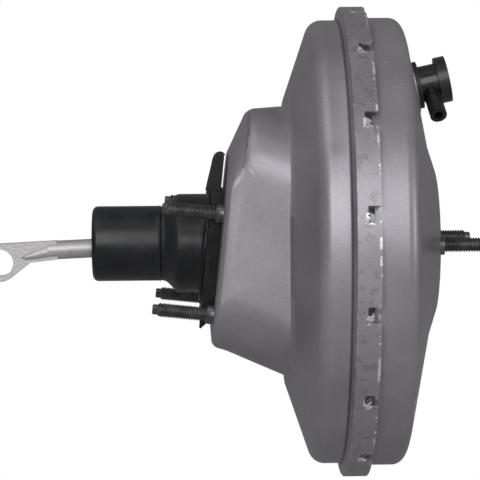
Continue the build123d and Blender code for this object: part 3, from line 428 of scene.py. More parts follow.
STUD_STEEL = PlainFinish(
    "stud_steel", (0.10, 0.097, 0.10), (0.17, 0.165, 0.17), 120.0, (0.30, 0.42), 1800.0, 0.02, 0.8
)
BLACK_SHEET = PlainFinish(
    "black_sheet", (0.006, 0.006, 0.0065), (0.010, 0.010, 0.011), 120.0, (0.20, 0.28), 900.0, 0.03, specular=0.2
)
BOOT_RUBBER = PlainFinish(
    "boot_rubber", (0.011, 0.012, 0.014), (0.020, 0.021, 0.024), 60.0, (0.30, 0.42), 500.0, 0.03, specular=0.34
)
SEAL_RUBBER = PlainFinish(
    "seal_rubber", (0.016, 0.016, 0.016), (0.03, 0.03, 0.03), 120.0, (0.45, 0.6), 900.0, 0.15
)
HUB_PLASTIC = PlainFinish(
    "hub_plastic", (0.05, 0.046, 0.042), (0.075, 0.07, 0.064), 90.0, (0.45, 0.6), 700.0, 0.15
)
VALVE_PLASTIC = PlainFinish(
    "valve_plastic", (0.012, 0.012, 0.013), (0.02, 0.02, 0.022), 150.0, (0.22, 0.34), 1300.0, 0.10
)
ROD_FORGING = PlainFinish(
    "rod_forging", (0.45, 0.43, 0.44), (0.58, 0.56, 0.57), 1100.0, (0.38, 0.52), 800.0, 0.45, 0.5, 0.8
)
INNER_STEEL = PlainFinish(
    "inner_steel", (0.42, 0.41, 0.40), (0.52, 0.51, 0.50), 60.0, (0.35, 0.5), 900.0, 0.12, 0.8
)
SPRING_STEEL = PlainFinish(
    "spring_steel", (0.24, 0.24, 0.25), (0.34, 0.34, 0.35), 120.0, (0.28, 0.42), 900.0, 0.10, 0.85
)
ALLOY = PlainFinish(
    "machined_alloy", (0.60, 0.59, 0.57), (0.68, 0.67, 0.65), 90.0, (0.25, 0.38), 900.0, 0.08, 0.9
)
FELT = PlainFinish(
    "filter_felt", (0.46, 0.44, 0.39), (0.58, 0.56, 0.50), 400.0, (0.85, 0.95), 1500.0, 0.6, 0.0, 0.8, 0.3
)
FOAM = PlainFinish(
    "filter_foam", (0.10, 0.10, 0.105), (0.18, 0.18, 0.19), 500.0, (0.8, 0.95), 1200.0, 0.8, 0.0, 0.9, 0.2
)

CAD_FINISHES: dict[str, tuple[str, ...]] = {
    "shell_paint": ("rear_shell", "front_shell"),
    "black_sheet": ("boot_bracket",),
    "seal_rubber": (
        "neck_seal", "front_seal", "diaphragm", "reaction_disc", "poppet_valve", "valve_grommet", "check_disc",
    ),
    "hub_plastic": ("valve_hub", "neck_bearing", "plunger_key"),
    "valve_plastic": ("check_valve_body", "check_valve_cap"),
    "rod_forging": ("pedal_rod",),
    "inner_steel": (
        "front_stiffener", "rear_stiffener", "seal_ring", "front_seal_washer", "rod_retainer",
        "diaphragm_plate", "output_rod", "rod_spring_cup", "poppet_retainer",
    ),
    "spring_steel": ("poppet_spring", "pedal_rod_spring", "return_spring", "check_spring"),
    "machined_alloy": ("air_valve_plunger",),
    "filter_felt": ("felt_filter",),
    "filter_foam": ("foam_filter",),
}


class Paintshop:
    """Builds every finish once and hands it out by name."""

    def __init__(self) -> None:
        """Build the shared groups and the materials."""
        effects = Effects()
        wanted = (
            ShellPaint(), STUD_STEEL, BLACK_SHEET, BOOT_RUBBER, SEAL_RUBBER, HUB_PLASTIC, VALVE_PLASTIC,
            ROD_FORGING, INNER_STEEL, SPRING_STEEL, ALLOY, FELT, FOAM,
        )
        self.materials = {finish.name: finish.build(effects) for finish in wanted}

    def __getitem__(self, name: str) -> bpy.types.Material:
        """Return one material."""
        return self.materials[name]

    def dress_nodes(self, nodes: dict[str, bpy.types.Object]) -> None:
        """Give each CAD node its finish.

        Args:
            nodes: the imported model's nodes by name.
        """
        for name, members in CAD_FINISHES.items():
            for member in members:
                slots = nodes[member].data.materials
                slots.clear()
                slots.append(self.materials[name])


# ---- mesh helpers


def smooth(mesh: bpy.types.Mesh, crease_deg: float = 38.0) -> None:
    """Shade a mesh smooth and keep its corners crisp."""
    mesh.shade_smooth()
    mesh.set_sharp_from_angle(angle=math.radians(crease_deg))


def new_piece(name: str, build: Callable[[bmesh.types.BMesh], None], material: bpy.types.Material) -> bpy.types.Object:
    """Make a mesh object at the origin.

    Args:
        name: the piece's name.
        build: fills the empty mesh.
        material: its finish.

    Returns:
        The new object, linked to the scene and shaded smooth.
    """
    mesh = bpy.data.meshes.new(name)
    shape = bmesh.new()
    build(shape)
    bmesh.ops.recalc_face_normals(shape, faces=shape.faces)
    shape.to_mesh(mesh)
    shape.free()
    mesh.materials.append(material)
    smooth(mesh)
    piece = bpy.data.objects.new(name, mesh)
    bpy.context.scene.collection.objects.link(piece)
    return piece


def lathe(shape: bmesh.types.BMesh, outline: Sequence[Ring], frame: Matrix, sides: int, closed: bool) -> None:
    """Turn an outline about the frame's third axis.

    Args:
        shape: the mesh that takes the faces.
        outline: (height, radius) pairs in millimetres.
        frame: places the axis, in metres.
        sides: facets round the axis.
        closed: whether the outline's last point joins its first.
    """
    rings: list[list[bmesh.types.BMVert]] = []
    for height, radius in outline:
        count = 1 if radius == 0 else sides
        rings.append([
            shape.verts.new(frame @ Vector((
                radius * MM * math.cos(math.tau * k / sides),
                radius * MM * math.sin(math.tau * k / sides),
                height * MM,
            )))
            for k in range(count)
        ])
    pairs = list(zip(rings, rings[1:]))
    if closed:
        pairs.append((rings[-1], rings[0]))
    for low, high in pairs:
        for k in range(sides):
            corners = [low[k % len(low)], low[(k + 1) % len(low)], high[(k + 1) % len(high)], high[k % len(high)]]
            unique = list(dict.fromkeys(corners))
            if len(unique) > 2:
                shape.faces.new(unique)


def arc(centre: Ring, radius: float, start: float, end: float, steps: int) -> list[Ring]:
    """Points of an arc in an outline, between two angles in degrees."""
    angles = [math.radians(start + (end - start) * k / steps) for k in range(steps + 1)]
    return [(centre[0] + radius * math.cos(a), centre[1] + radius * math.sin(a)) for a in angles]


def facing(origin: Vector, axis: Vector, across: Vector) -> Matrix:
    """Frame with its third axis along a direction and its second near another."""
    third = axis.normalized()
    first = across.cross(third).normalized()
    second = third.cross(first)
    turn = Matrix((first, second, third)).transposed().to_4x4()
    return Matrix.Translation(origin) @ turn


# ---- studs


class RepeatTree(NodeTree):
    """A Geometry Nodes tree with named inputs, for one modifier."""

    def __init__(self, name: str, inputs: dict[str, float]) -> None:
        """Open the tree.

        Args:
            name: the tree's name.
            inputs: default of each number input.
        """
        super().__init__(bpy.data.node_groups.new(name, "GeometryNodeTree"))
        face = self.tree.interface
        face.new_socket("Geometry", in_out="INPUT", socket_type="NodeSocketGeometry")
        for key, value in inputs.items():
            face.new_socket(key, in_out="INPUT", socket_type="NodeSocketFloat").default_value = value
        face.new_socket("Finish", in_out="INPUT", socket_type="NodeSocketMaterial")
        face.new_socket("Geometry", in_out="OUTPUT", socket_type="NodeSocketGeometry")
        self.given = self.node("NodeGroupInput").outputs

    def finish(self, geometry: bpy.types.NodeSocket) -> None:
        """End the tree in Realize Instances and Set Material."""
        real = self.node("GeometryNodeRealizeInstances", {"Geometry": geometry})
        painted = self.node("GeometryNodeSetMaterial", {"Geometry": real.outputs[0], "Material": self.given["Finish"]})
        end = self.node("NodeGroupOutput")
        self.feed(painted.outputs[0], end.inputs[0])

    def apply(self, piece: bpy.types.Object, values: dict[str, Any]) -> bpy.types.Object:
        """Run the tree on a piece and keep the plain mesh.

        Args:
            piece: the object whose mesh goes in.
            values: the modifier's inputs by name.

        Returns:
            The same object with the tree's result as its mesh.
        """
        modifier = piece.modifiers.new("repeat", "NODES")
        modifier.node_group = self.tree
        keys = {item.name: item.identifier for item in self.tree.interface.items_tree if item.in_out == "INPUT"}
        for name, value in values.items():
            modifier[keys[name]] = value
        piece.update_tag()
        graph = bpy.context.evaluated_depsgraph_get()
        graph.update()
        done = bpy.data.meshes.new_from_object(piece.evaluated_get(graph), depsgraph=graph)
        piece.modifiers.remove(modifier)
        old = piece.data
        done.name = piece.name
        piece.data = done
        bpy.data.meshes.remove(old)
        smooth(done, 75.0)
        return piece


def thread_tree() -> RepeatTree:
    """Build the tree that cuts a thread and sets studs on a grid."""
    made = RepeatTree("threaded_studs", {
        "Pitch": 1.4 * MM, "Depth": 0.7 * MM, "Start": 0.0, "End": 20 * MM, "Root": 3.6 * MM,
        "Wide": 100 * MM, "Tall": 50 * MM, "Rows": 2.0,
    })
    place = made.node("GeometryNodeInputPosition").outputs[0]
    split = made.node("ShaderNodeSeparateXYZ", {0: place}).outputs
    flat = made.node("ShaderNodeCombineXYZ", {0: split[0], 1: split[1]}).outputs[0]
    radius = made.node("ShaderNodeVectorMath", {0: flat}, operation="LENGTH").outputs["Value"]
    turn = made.maths("DIVIDE", made.maths("ARCTAN2", split[1], split[0]), math.tau)
    phase = made.maths("FRACT", made.maths("SUBTRACT", made.maths("DIVIDE", split[2], made.given["Pitch"]), turn))
    ridge = made.maths("MULTIPLY", made.maths("ABSOLUTE", made.maths("SUBTRACT", phase, 0.5)), 2.0)
    valley = made.node("ShaderNodeMapRange", {"Value": ridge, "From Min": 0.14, "From Max": 0.88}).outputs["Result"]
    begin = made.maths("GREATER_THAN", split[2], made.given["Start"])
    before = made.maths("LESS_THAN", split[2], made.given["End"])
    outside = made.maths("GREATER_THAN", radius, made.given["Root"])
    inside = made.maths("MULTIPLY", made.maths("MULTIPLY", begin, before), outside)
    depth = made.maths("MULTIPLY", made.maths("MULTIPLY", valley, inside), made.given["Depth"])
    inward = made.node("ShaderNodeVectorMath", {0: flat}, operation="NORMALIZE").outputs[0]
    push = made.node("ShaderNodeVectorMath", {0: inward}, operation="SCALE")
    made.feed(made.maths("MULTIPLY", depth, -1.0), push.inputs["Scale"])
    cut = made.node("GeometryNodeSetPosition", {"Geometry": made.given["Geometry"], "Offset": push.outputs[0]})
    grid = made.node("GeometryNodeMeshGrid", {
        "Size X": made.given["Wide"], "Size Y": made.given["Tall"], "Vertices X": 2, "Vertices Y": made.given["Rows"],
    })
    placed = made.node("GeometryNodeInstanceOnPoints", {"Points": grid.outputs[0], "Instance": cut.outputs[0]})
    made.finish(placed.outputs[0])
    return made


@dataclass
class ThreadedStuds:
    """A group of equal studs: head, collar, rolled thread and dog point, in millimetres."""

    name: str
    node: str
    origin: tuple[float, float, float]
    axis: tuple[float, float, float]
    wide: float
    tall: float
    rows: int
    tip: float
    collar_r: float
    collar_low: float
    collar_high: float
    head_depth: float
    thread_r: float = 3.97
    dog_r: float = 2.8
    dog_long: float = 3.5
    head_r: float = 7.0
    head_thick: float = 2.5
    pitch: float = 1.411
    thread_depth: float = 0.72
    shank: float = 0.0
    sides: int = 36

    def outline(self) -> list[Ring]:
        """Half section of one stud from its head to its dog point."""
        low, shoulder = -self.head_depth, self.tip - self.dog_long
        start = self.collar_high + self.shank
        rows = int((shoulder - start) / (self.pitch / 8))
        thread = [(start + (shoulder - start) * k / rows, self.thread_r) for k in range(1, rows)]
        return [
            (low - self.head_thick, 0.0),
            (low - self.head_thick, self.head_r),
            (low, self.head_r),
            (low, self.thread_r),
            (self.collar_low, self.thread_r),
            (self.collar_low, self.collar_r),
            (self.collar_high - 0.4, self.collar_r),
            (self.collar_high, self.collar_r - 0.4),
            (self.collar_high, self.thread_r),
            *thread,
            (shoulder, self.thread_r - 0.5),
            (shoulder + 0.5, self.dog_r),
            (self.tip - 0.5, self.dog_r),
            (self.tip, self.dog_r - 0.5),
            (self.tip, 0.0),
        ]

    def build(self, tree: RepeatTree, shop: Paintshop) -> bpy.types.Object:
        """Make the group of studs and let it stand for the CAD's plain ones.

        Args:
            tree: the thread and repeat tree.
            shop: the finishes.

        Returns:
            The finished piece.
        """
        piece = new_piece(
            self.name,
            lambda shape: lathe(shape, self.outline(), Matrix.Identity(4), self.sides, False),
            shop["stud_steel"],
        )
        tree.apply(piece, {
            "Pitch": self.pitch * MM, "Depth": self.thread_depth * MM,
            "Start": (self.collar_high + self.shank + 0.2) * MM, "End": (self.tip - self.dog_long - 0.05) * MM,
            "Root": (self.thread_r - 0.1) * MM, "Wide": self.wide * MM, "Tall": self.tall * MM,
            "Rows": float(self.rows), "Finish": shop["stud_steel"],
        })
        frame = facing(Vector(self.origin) * MM, Vector(self.axis), Vector((0, 0, 1)))
        piece.data.transform(frame)
        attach(piece, Body.HOUSING.value)
        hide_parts(self.node)
        return piece


# ---- springs


def coil_tree() -> RepeatTree:
    """Build the tree that winds a round wire into a spring."""
    made = RepeatTree("wound_spring", {
        "Radius": 10 * MM, "Wire": 1 * MM, "Height": 50 * MM, "Turns": 5.0, "Steps": 48.0, "Sides": 12.0,
    })
    path = made.node("GeometryNodeCurveSpiral", {
        "Resolution": made.given["Steps"], "Rotations": made.given["Turns"],
        "Start Radius": made.given["Radius"], "End Radius": made.given["Radius"], "Height": made.given["Height"],
    })
    wire = made.node("GeometryNodeCurvePrimitiveCircle", {
        "Resolution": made.given["Sides"], "Radius": made.given["Wire"],
    }, mode="RADIUS")
    wound = made.node("GeometryNodeCurveToMesh", {
        "Curve": path.outputs[0], "Profile Curve": wire.outputs[0], "Fill Caps": True,
    })
    made.finish(wound.outputs[0])
    return made


@dataclass
class CoilSpring:
    """A spring between two bodies, in millimetres."""

    node: str
    origin: tuple[float, float, float]
    axis: tuple[float, float, float]
    radius: float
    wire: float
    low: float
    high: float
    turns: float
    low_body: Body
    high_body: Body
    moving: Body

    def build(self, tree: RepeatTree, shop: Paintshop) -> bpy.types.Object:
        """Wind the spring and place it.

        Args:
            tree: the winding tree.
            shop: the finishes.

        Returns:
            The finished piece.
        """
        name = self.node + "_coil"
        piece = new_piece(name, lambda shape: None, shop["spring_steel"])
        tree.apply(piece, {
            "Radius": self.radius * MM, "Wire": self.wire * MM, "Height": (self.high - self.low - 2 * self.wire) * MM,
            "Turns": self.turns, "Finish": shop["spring_steel"],
        })
        shape = bmesh.new()
        shape.from_mesh(piece.data)
        bmesh.ops.remove_doubles(shape, verts=shape.verts, dist=0.001 * MM)
        bmesh.ops.recalc_face_normals(shape, faces=shape.faces)
        shape.to_mesh(piece.data)
        shape.free()
        axis = Vector(self.axis).normalized()
        start = (Vector(self.origin) + axis * (self.low + self.wire)) * MM
        piece.data.transform(facing(start, axis, Vector((0, 1, 0))))
        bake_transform(piece)
        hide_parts(self.node)
        return piece


def springs(shop: Paintshop) -> list[bpy.types.Object]:
    """Wind the springs that work across a joint.

    Args:
        shop: the finishes.

    Returns:
        The pieces.
    """
    tree = coil_tree()
    booster, forward = (0.0, 0.0, 0.0), (1.0, 0.0, 0.0)
    wound = (
        CoilSpring(
            "return_spring", booster, forward, 29.3, 1.9, -85.15, -5.53, 5.0,
            Body.PISTON, Body.HOUSING, Body.PISTON,
        ),
        CoilSpring(
            "pedal_rod_spring", booster, forward, 9.4, 0.6, -168.8, -150.1, 4.0,
            Body.AIR_VALVE, Body.PISTON, Body.AIR_VALVE,
        ),
        CoilSpring(
            "check_spring", (-12.98, -12.0, 87.5), (0.97726, -0.02881, 0.21008), 4.2, 0.4, 7.3, 11.75, 3.0,
            Body.VALVE_DISC, Body.HOUSING, Body.VALVE_DISC,
        ),
    )
    return [spring.build(tree, shop) for spring in wound]


# ---- boot


@dataclass
class DustBoot:
    """Rubber boot in three pieces that meet in straight seams, and its lip on the rod, in millimetres."""

    slim_r: float = 21.2
    big_r: float = 27.8
    wall: float = 2.0
    nose_x: float = -193.6
    neck_x: float = -154.0
    shoulder_x: float = -144.5
    neck_end_x: float = -146.6
    shoulder_steps: int = 12
    face_x: float = -122.2
    tilt: float = 6.0
    stand: float = 7.25
    flange_r: float = 32.5
    flange_thick: float = 1.6
    fold_x: float = -150.5
    body_end_x: float = -186.5
    middle_end_x: float = -189.0
    neck_clear_r: float = 25.3
    nose_wall: float = 1.2
    opening_r: float = 8.3
    lip_x: float = -191.1
    lip_thick: float = 0.4
    lip_r: float = 11.0
    rod_r: float = 5.45
    droop: float = 2.4
    ball_x: float = -135.0
    sides: int = 96
    parts: list[bpy.types.Object] = field(default_factory=list)

    def _rings(self, shape: bmesh.types.BMesh, outline: Sequence[tuple[float, float, float]], closed: bool) -> None:
        """Turn (station, radius, share) rows about X.

        Args:
            shape: the mesh that takes the faces.
            outline: rows of station, radius and how far a row leans with the bracket.
            closed: whether the last row joins the first.
        """
        slope = math.tan(math.radians(self.tilt))
        sink = math.tan(math.radians(self.droop))
        rings = []
        for station, radius, lean in outline:
            ring = []
            for k in range(self.sides):
                turn = math.tau * k / self.sides
                y, z = radius * math.cos(turn), radius * math.sin(turn)
                x = station + max(lean, 0.0) * z * slope
                if lean < 0:
                    z += lean * (self.ball_x - station) * sink
                ring.append(shape.verts.new((x * MM, y * MM, z * MM)))
            rings.append(ring)
        pairs = list(zip(rings, rings[1:]))
        if closed:
            pairs.append((rings[-1], rings[0]))
        for low, high in pairs:
            for k in range(self.sides):
                n = (k + 1) % self.sides
                shape.faces.new((low[k], low[n], high[n], high[k]))

    def body_rows(self) -> list[tuple[float, float, float]]:
        """Outside rows from the flange to the straight seam, then the inside rows back."""
        seat = self.face_x - self.stand
        lip = seat - self.flange_thick
        rows = [(seat, self.neck_clear_r, 1.0), (seat, self.flange_r - 0.3, 1.0), (seat - 0.3, self.flange_r, 1.0)]
        rows += [(lip + 0.3, self.flange_r, 1.0), (lip, self.flange_r - 0.3, 1.0)]
        rows += [(lip, self.big_r + 1.6, 1.0), (lip - 0.5, self.big_r + 0.5, 1.0), (lip - 1.6, self.big_r, 1.0)]
        top = self.shoulder_x
        for share in (0.75, 0.5, 0.25):
            rows.append((top + (lip - 1.6 - top) * share, self.big_r, share))
        rows += self.shoulder_rows(0.0)
        rows += [(self.neck_x - 0.7, self.slim_r - 0.35, 0.0), (self.neck_x - 1.5, self.slim_r + 0.3, 0.0)]
        rows += [(self.neck_x - 2.2, self.slim_r, 0.0)]
        count = 12
        for k in range(1, count + 1):
            rows.append((self.neck_x - 2.2 + (self.body_end_x - self.neck_x + 2.2) * k / count, self.slim_r, 0.0))
        for k in range(count + 1):
            rows.append((
                self.body_end_x + (self.neck_x - self.body_end_x) * k / count, self.slim_r - self.wall, 0.0,
            ))
        inner = self.shoulder_rows(self.wall)
        rows += [row for row in reversed(inner) if self.neck_x < row[0] < self.neck_end_x - 0.5]
        rows.append((self.neck_end_x, self.neck_clear_r, 0.0))
        return rows

    def shoulder_rows(self, inset: float) -> list[tuple[float, float, float]]:
        """Rows of the soft shoulder from the big end down to the slim one.

        Args:
            inset: how far the rows lie inside the outer face.

        Returns:
            The rows, from the bracket's side outwards.
        """
        rows = []
        for k in range(self.shoulder_steps + 1):
            share = k / self.shoulder_steps
            drop = (1 - math.cos(math.pi * share)) / 2
            station = self.shoulder_x + (self.neck_x - self.shoulder_x) * share
            rows.append((station, self.big_r + (self.slim_r - self.big_r) * drop - inset, 0.0))
        return rows

    def middle_rows(self) -> list[tuple[float, float, float]]:
        """Rows of the short straight ring between the seams."""
        inner = self.slim_r - self.wall
        stations = (self.body_end_x, (self.body_end_x + self.middle_end_x) / 2, self.middle_end_x)
        return [(x, self.slim_r, 0.0) for x in stations] + [(x, inner, 0.0) for x in reversed(stations)]

    def nose_rows(self) -> list[tuple[float, float, float]]:
        """Rows of the rounded end with the opening that the rod swings in."""
        curve = 3.2
        corner = arc((self.nose_x + curve, self.slim_r - curve), curve, 90, 180, 8)
        back = self.nose_x + self.nose_wall
        rows = [(self.middle_end_x, self.slim_r, 0.0)] + [(x, r, 0.0) for x, r in corner]
        rows += [(self.nose_x, 13.0, 0.0), (self.nose_x, self.opening_r + 0.4, 0.0)]
        rows += [(self.nose_x + 0.4, self.opening_r, 0.0), (back, self.opening_r, 0.0), (back, 13.0, 0.0)]
        rows += [(self.nose_x + self.wall + 0.2, self.slim_r - self.wall - 0.1, 0.0)]
        rows += [(self.middle_end_x, self.slim_r - self.wall, 0.0)]
        return rows

    def lip_rows(self) -> list[tuple[float, float, float]]:
        """Rows of the loose lip on the rod behind the opening."""
        front, back = self.lip_x, self.lip_x + self.lip_thick
        return [(front, self.rod_r, -1.0), (front, self.lip_r, -1.0), (back, self.lip_r, -1.0), (back, self.rod_r, -1.0)]

    def build(self, shop: Paintshop) -> None:
        """Make the pieces: two stay in place and two ride on a body.

        Args:
            shop: the finishes.
        """
        seams = (
            ("boot_body", self.body_rows(), Body.HOUSING, Body.PISTON, self.fold_x, self.body_end_x),
            ("boot_ring", self.middle_rows(), Body.PISTON, Body.AIR_VALVE, self.body_end_x, self.middle_end_x),
            ("boot_nose", self.nose_rows(), Body.AIR_VALVE, None, 0.0, 0.0),
            ("boot_lip", self.lip_rows(), Body.INPUT_ROD, None, 0.0, 0.0),
        )
        for name, rows, first, second, start, end in seams:
            piece = new_piece(name, lambda shape, rows=rows: self._rings(shape, rows, True), shop["boot_rubber"])
            if second is None:
                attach(piece, first.value)
            else:
                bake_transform(piece)
            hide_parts("dust_boot")
            self.parts.append(piece)


# ---- pedal rod


@dataclass
class RodTongue:
    """Tapered end of the round shaft where it runs out over the flat web, in millimetres.

    Each row holds the place along the rod, the place of its middle across the rod, and its
    half height and half thickness.
    """

    ball_x: float = -135.0
    droop: float = 2.4
    rows: tuple[tuple[float, float, float, float], ...] = (
        (77.0, 0.0, 5.28, 5.28),
        (80.5, -0.1, 5.2, 5.28),
        (83.5, -0.5, 4.9, 5.28),
        (86.5, -1.0, 4.6, 5.28),
        (89.5, -1.6, 4.2, 5.28),
        (92.5, -2.2, 3.6, 5.25),
        (95.0, -2.7, 3.0, 5.2),
        (97.0, -3.0, 2.3, 5.1),
        (98.2, -3.15, 1.5, 4.8),
        (98.8, -3.2, 0.7, 4.2),
    )
    sides: int = 32

    def _loft(self, shape: bmesh.types.BMesh) -> None:
        """Join the rows with faces and close both ends."""
        rings = []
        for along, middle, half_height, half_thick in self.rows:
            ring = []
            for k in range(self.sides):
                turn = math.tau * k / self.sides
                place = (along * MM, half_thick * math.sin(turn) * MM, (middle + half_height * math.cos(turn)) * MM)
                ring.append(shape.verts.new(place))
            rings.append(ring)
        for low, high in zip(rings, rings[1:]):
            for k in range(self.sides):
                n = (k + 1) % self.sides
                shape.faces.new((low[k], low[n], high[n], high[k]))
        shape.faces.new(rings[0])
        shape.faces.new(rings[-1])

    def build(self, shop: Paintshop) -> bpy.types.Object:
        """Make the tongue on the rod's own axis.

        Args:
            shop: the finishes.

        Returns:
            The finished piece.
        """
        piece = new_piece("rod_tongue", self._loft, shop["rod_forging"])
        heading = math.radians(self.droop)
        along = Vector((-math.cos(heading), 0, -math.sin(heading)))
        side = Vector((0, 1, 0))
        frame = Matrix((along, side, Vector((-math.sin(heading), 0, math.cos(heading))))).transposed().to_4x4()
        frame.translation = (self.ball_x * MM, 0, 0)
        piece.data.transform(frame)
        piece.data.flip_normals()
        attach(piece, Body.INPUT_ROD.value)
        return piece


# ---- bracket


@dataclass
class BracketHorns:
    """Curved outer edges on the two upright ears of the bracket, in millimetres."""

    face_x: float = -122.2
    tilt: float = 6.0
    ear_half_width: float = 25.1
    thick: float = 1.8
    outline: tuple[tuple[float, float], ...] = (
        (7.1, 27.0), (10.4, 28.0), (10.0, 32.0), (9.3, 37.0), (8.6, 42.0), (8.1, 46.5), (7.3, 49.3),
        (5.6, 50.8), (3.4, 51.3), (1.6, 50.6), (2.6, 49.2), (7.1, 45.0),
    )

    def place(self, stand: float, up: float, across: float) -> tuple[float, float, float]:
        """Place in metres of a point above the boss's tilted face."""
        tilt = math.radians(self.tilt)
        x = self.face_x - stand * math.cos(tilt) + up * math.sin(tilt)
        z = stand * math.sin(tilt) + up * math.cos(tilt)
        return x * MM, across * MM, z * MM

    def _plates(self, shape: bmesh.types.BMesh) -> None:
        """Make both plates as closed solids."""
        for hand in (-1, 1):
            sides = (hand * self.ear_half_width, hand * (self.ear_half_width - self.thick))
            near, far = ([shape.verts.new(self.place(*point, y)) for point in self.outline] for y in sides)
            shape.faces.new(near)
            shape.faces.new(far)
            for k in range(len(near)):
                n = (k + 1) % len(near)
                shape.faces.new((near[k], near[n], far[n], far[k]))

    def build(self, shop: Paintshop) -> bpy.types.Object:
        """Make the horns and fix them to the housing.

        Args:
            shop: the finishes.

        Returns:
            The finished piece.
        """
        piece = new_piece("bracket_horns", self._plates, shop["black_sheet"])
        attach(piece, Body.HOUSING.value)
        return piece


# ---- rear shell


@dataclass(frozen=True)
class BossSection:
    """Rounded rectangle of the mounting boss, in millimetres."""

    half_width: float
    top: float
    bottom: float
    corner: float

    def mixed(self, other: BossSection, share: float) -> BossSection:
        """Section part of the way to another one."""
        return BossSection(*(
            first + (second - first) * share
            for first, second in zip(
                (self.half_width, self.top, self.bottom, self.corner),
                (other.half_width, other.top, other.bottom, other.corner),
            )
        ))

    def distance(self, across: float, up: float) -> float:
        """Distance of a point outside the section, negative inside it."""
        middle, half_height = (self.top + self.bottom) / 2, (self.top - self.bottom) / 2
        beyond_side = abs(across) - self.half_width + self.corner
        beyond_end = abs(up - middle) - half_height + self.corner
        outside = math.hypot(max(beyond_side, 0.0), max(beyond_end, 0.0))
        return outside + min(max(beyond_side, beyond_end), 0.0) - self.corner


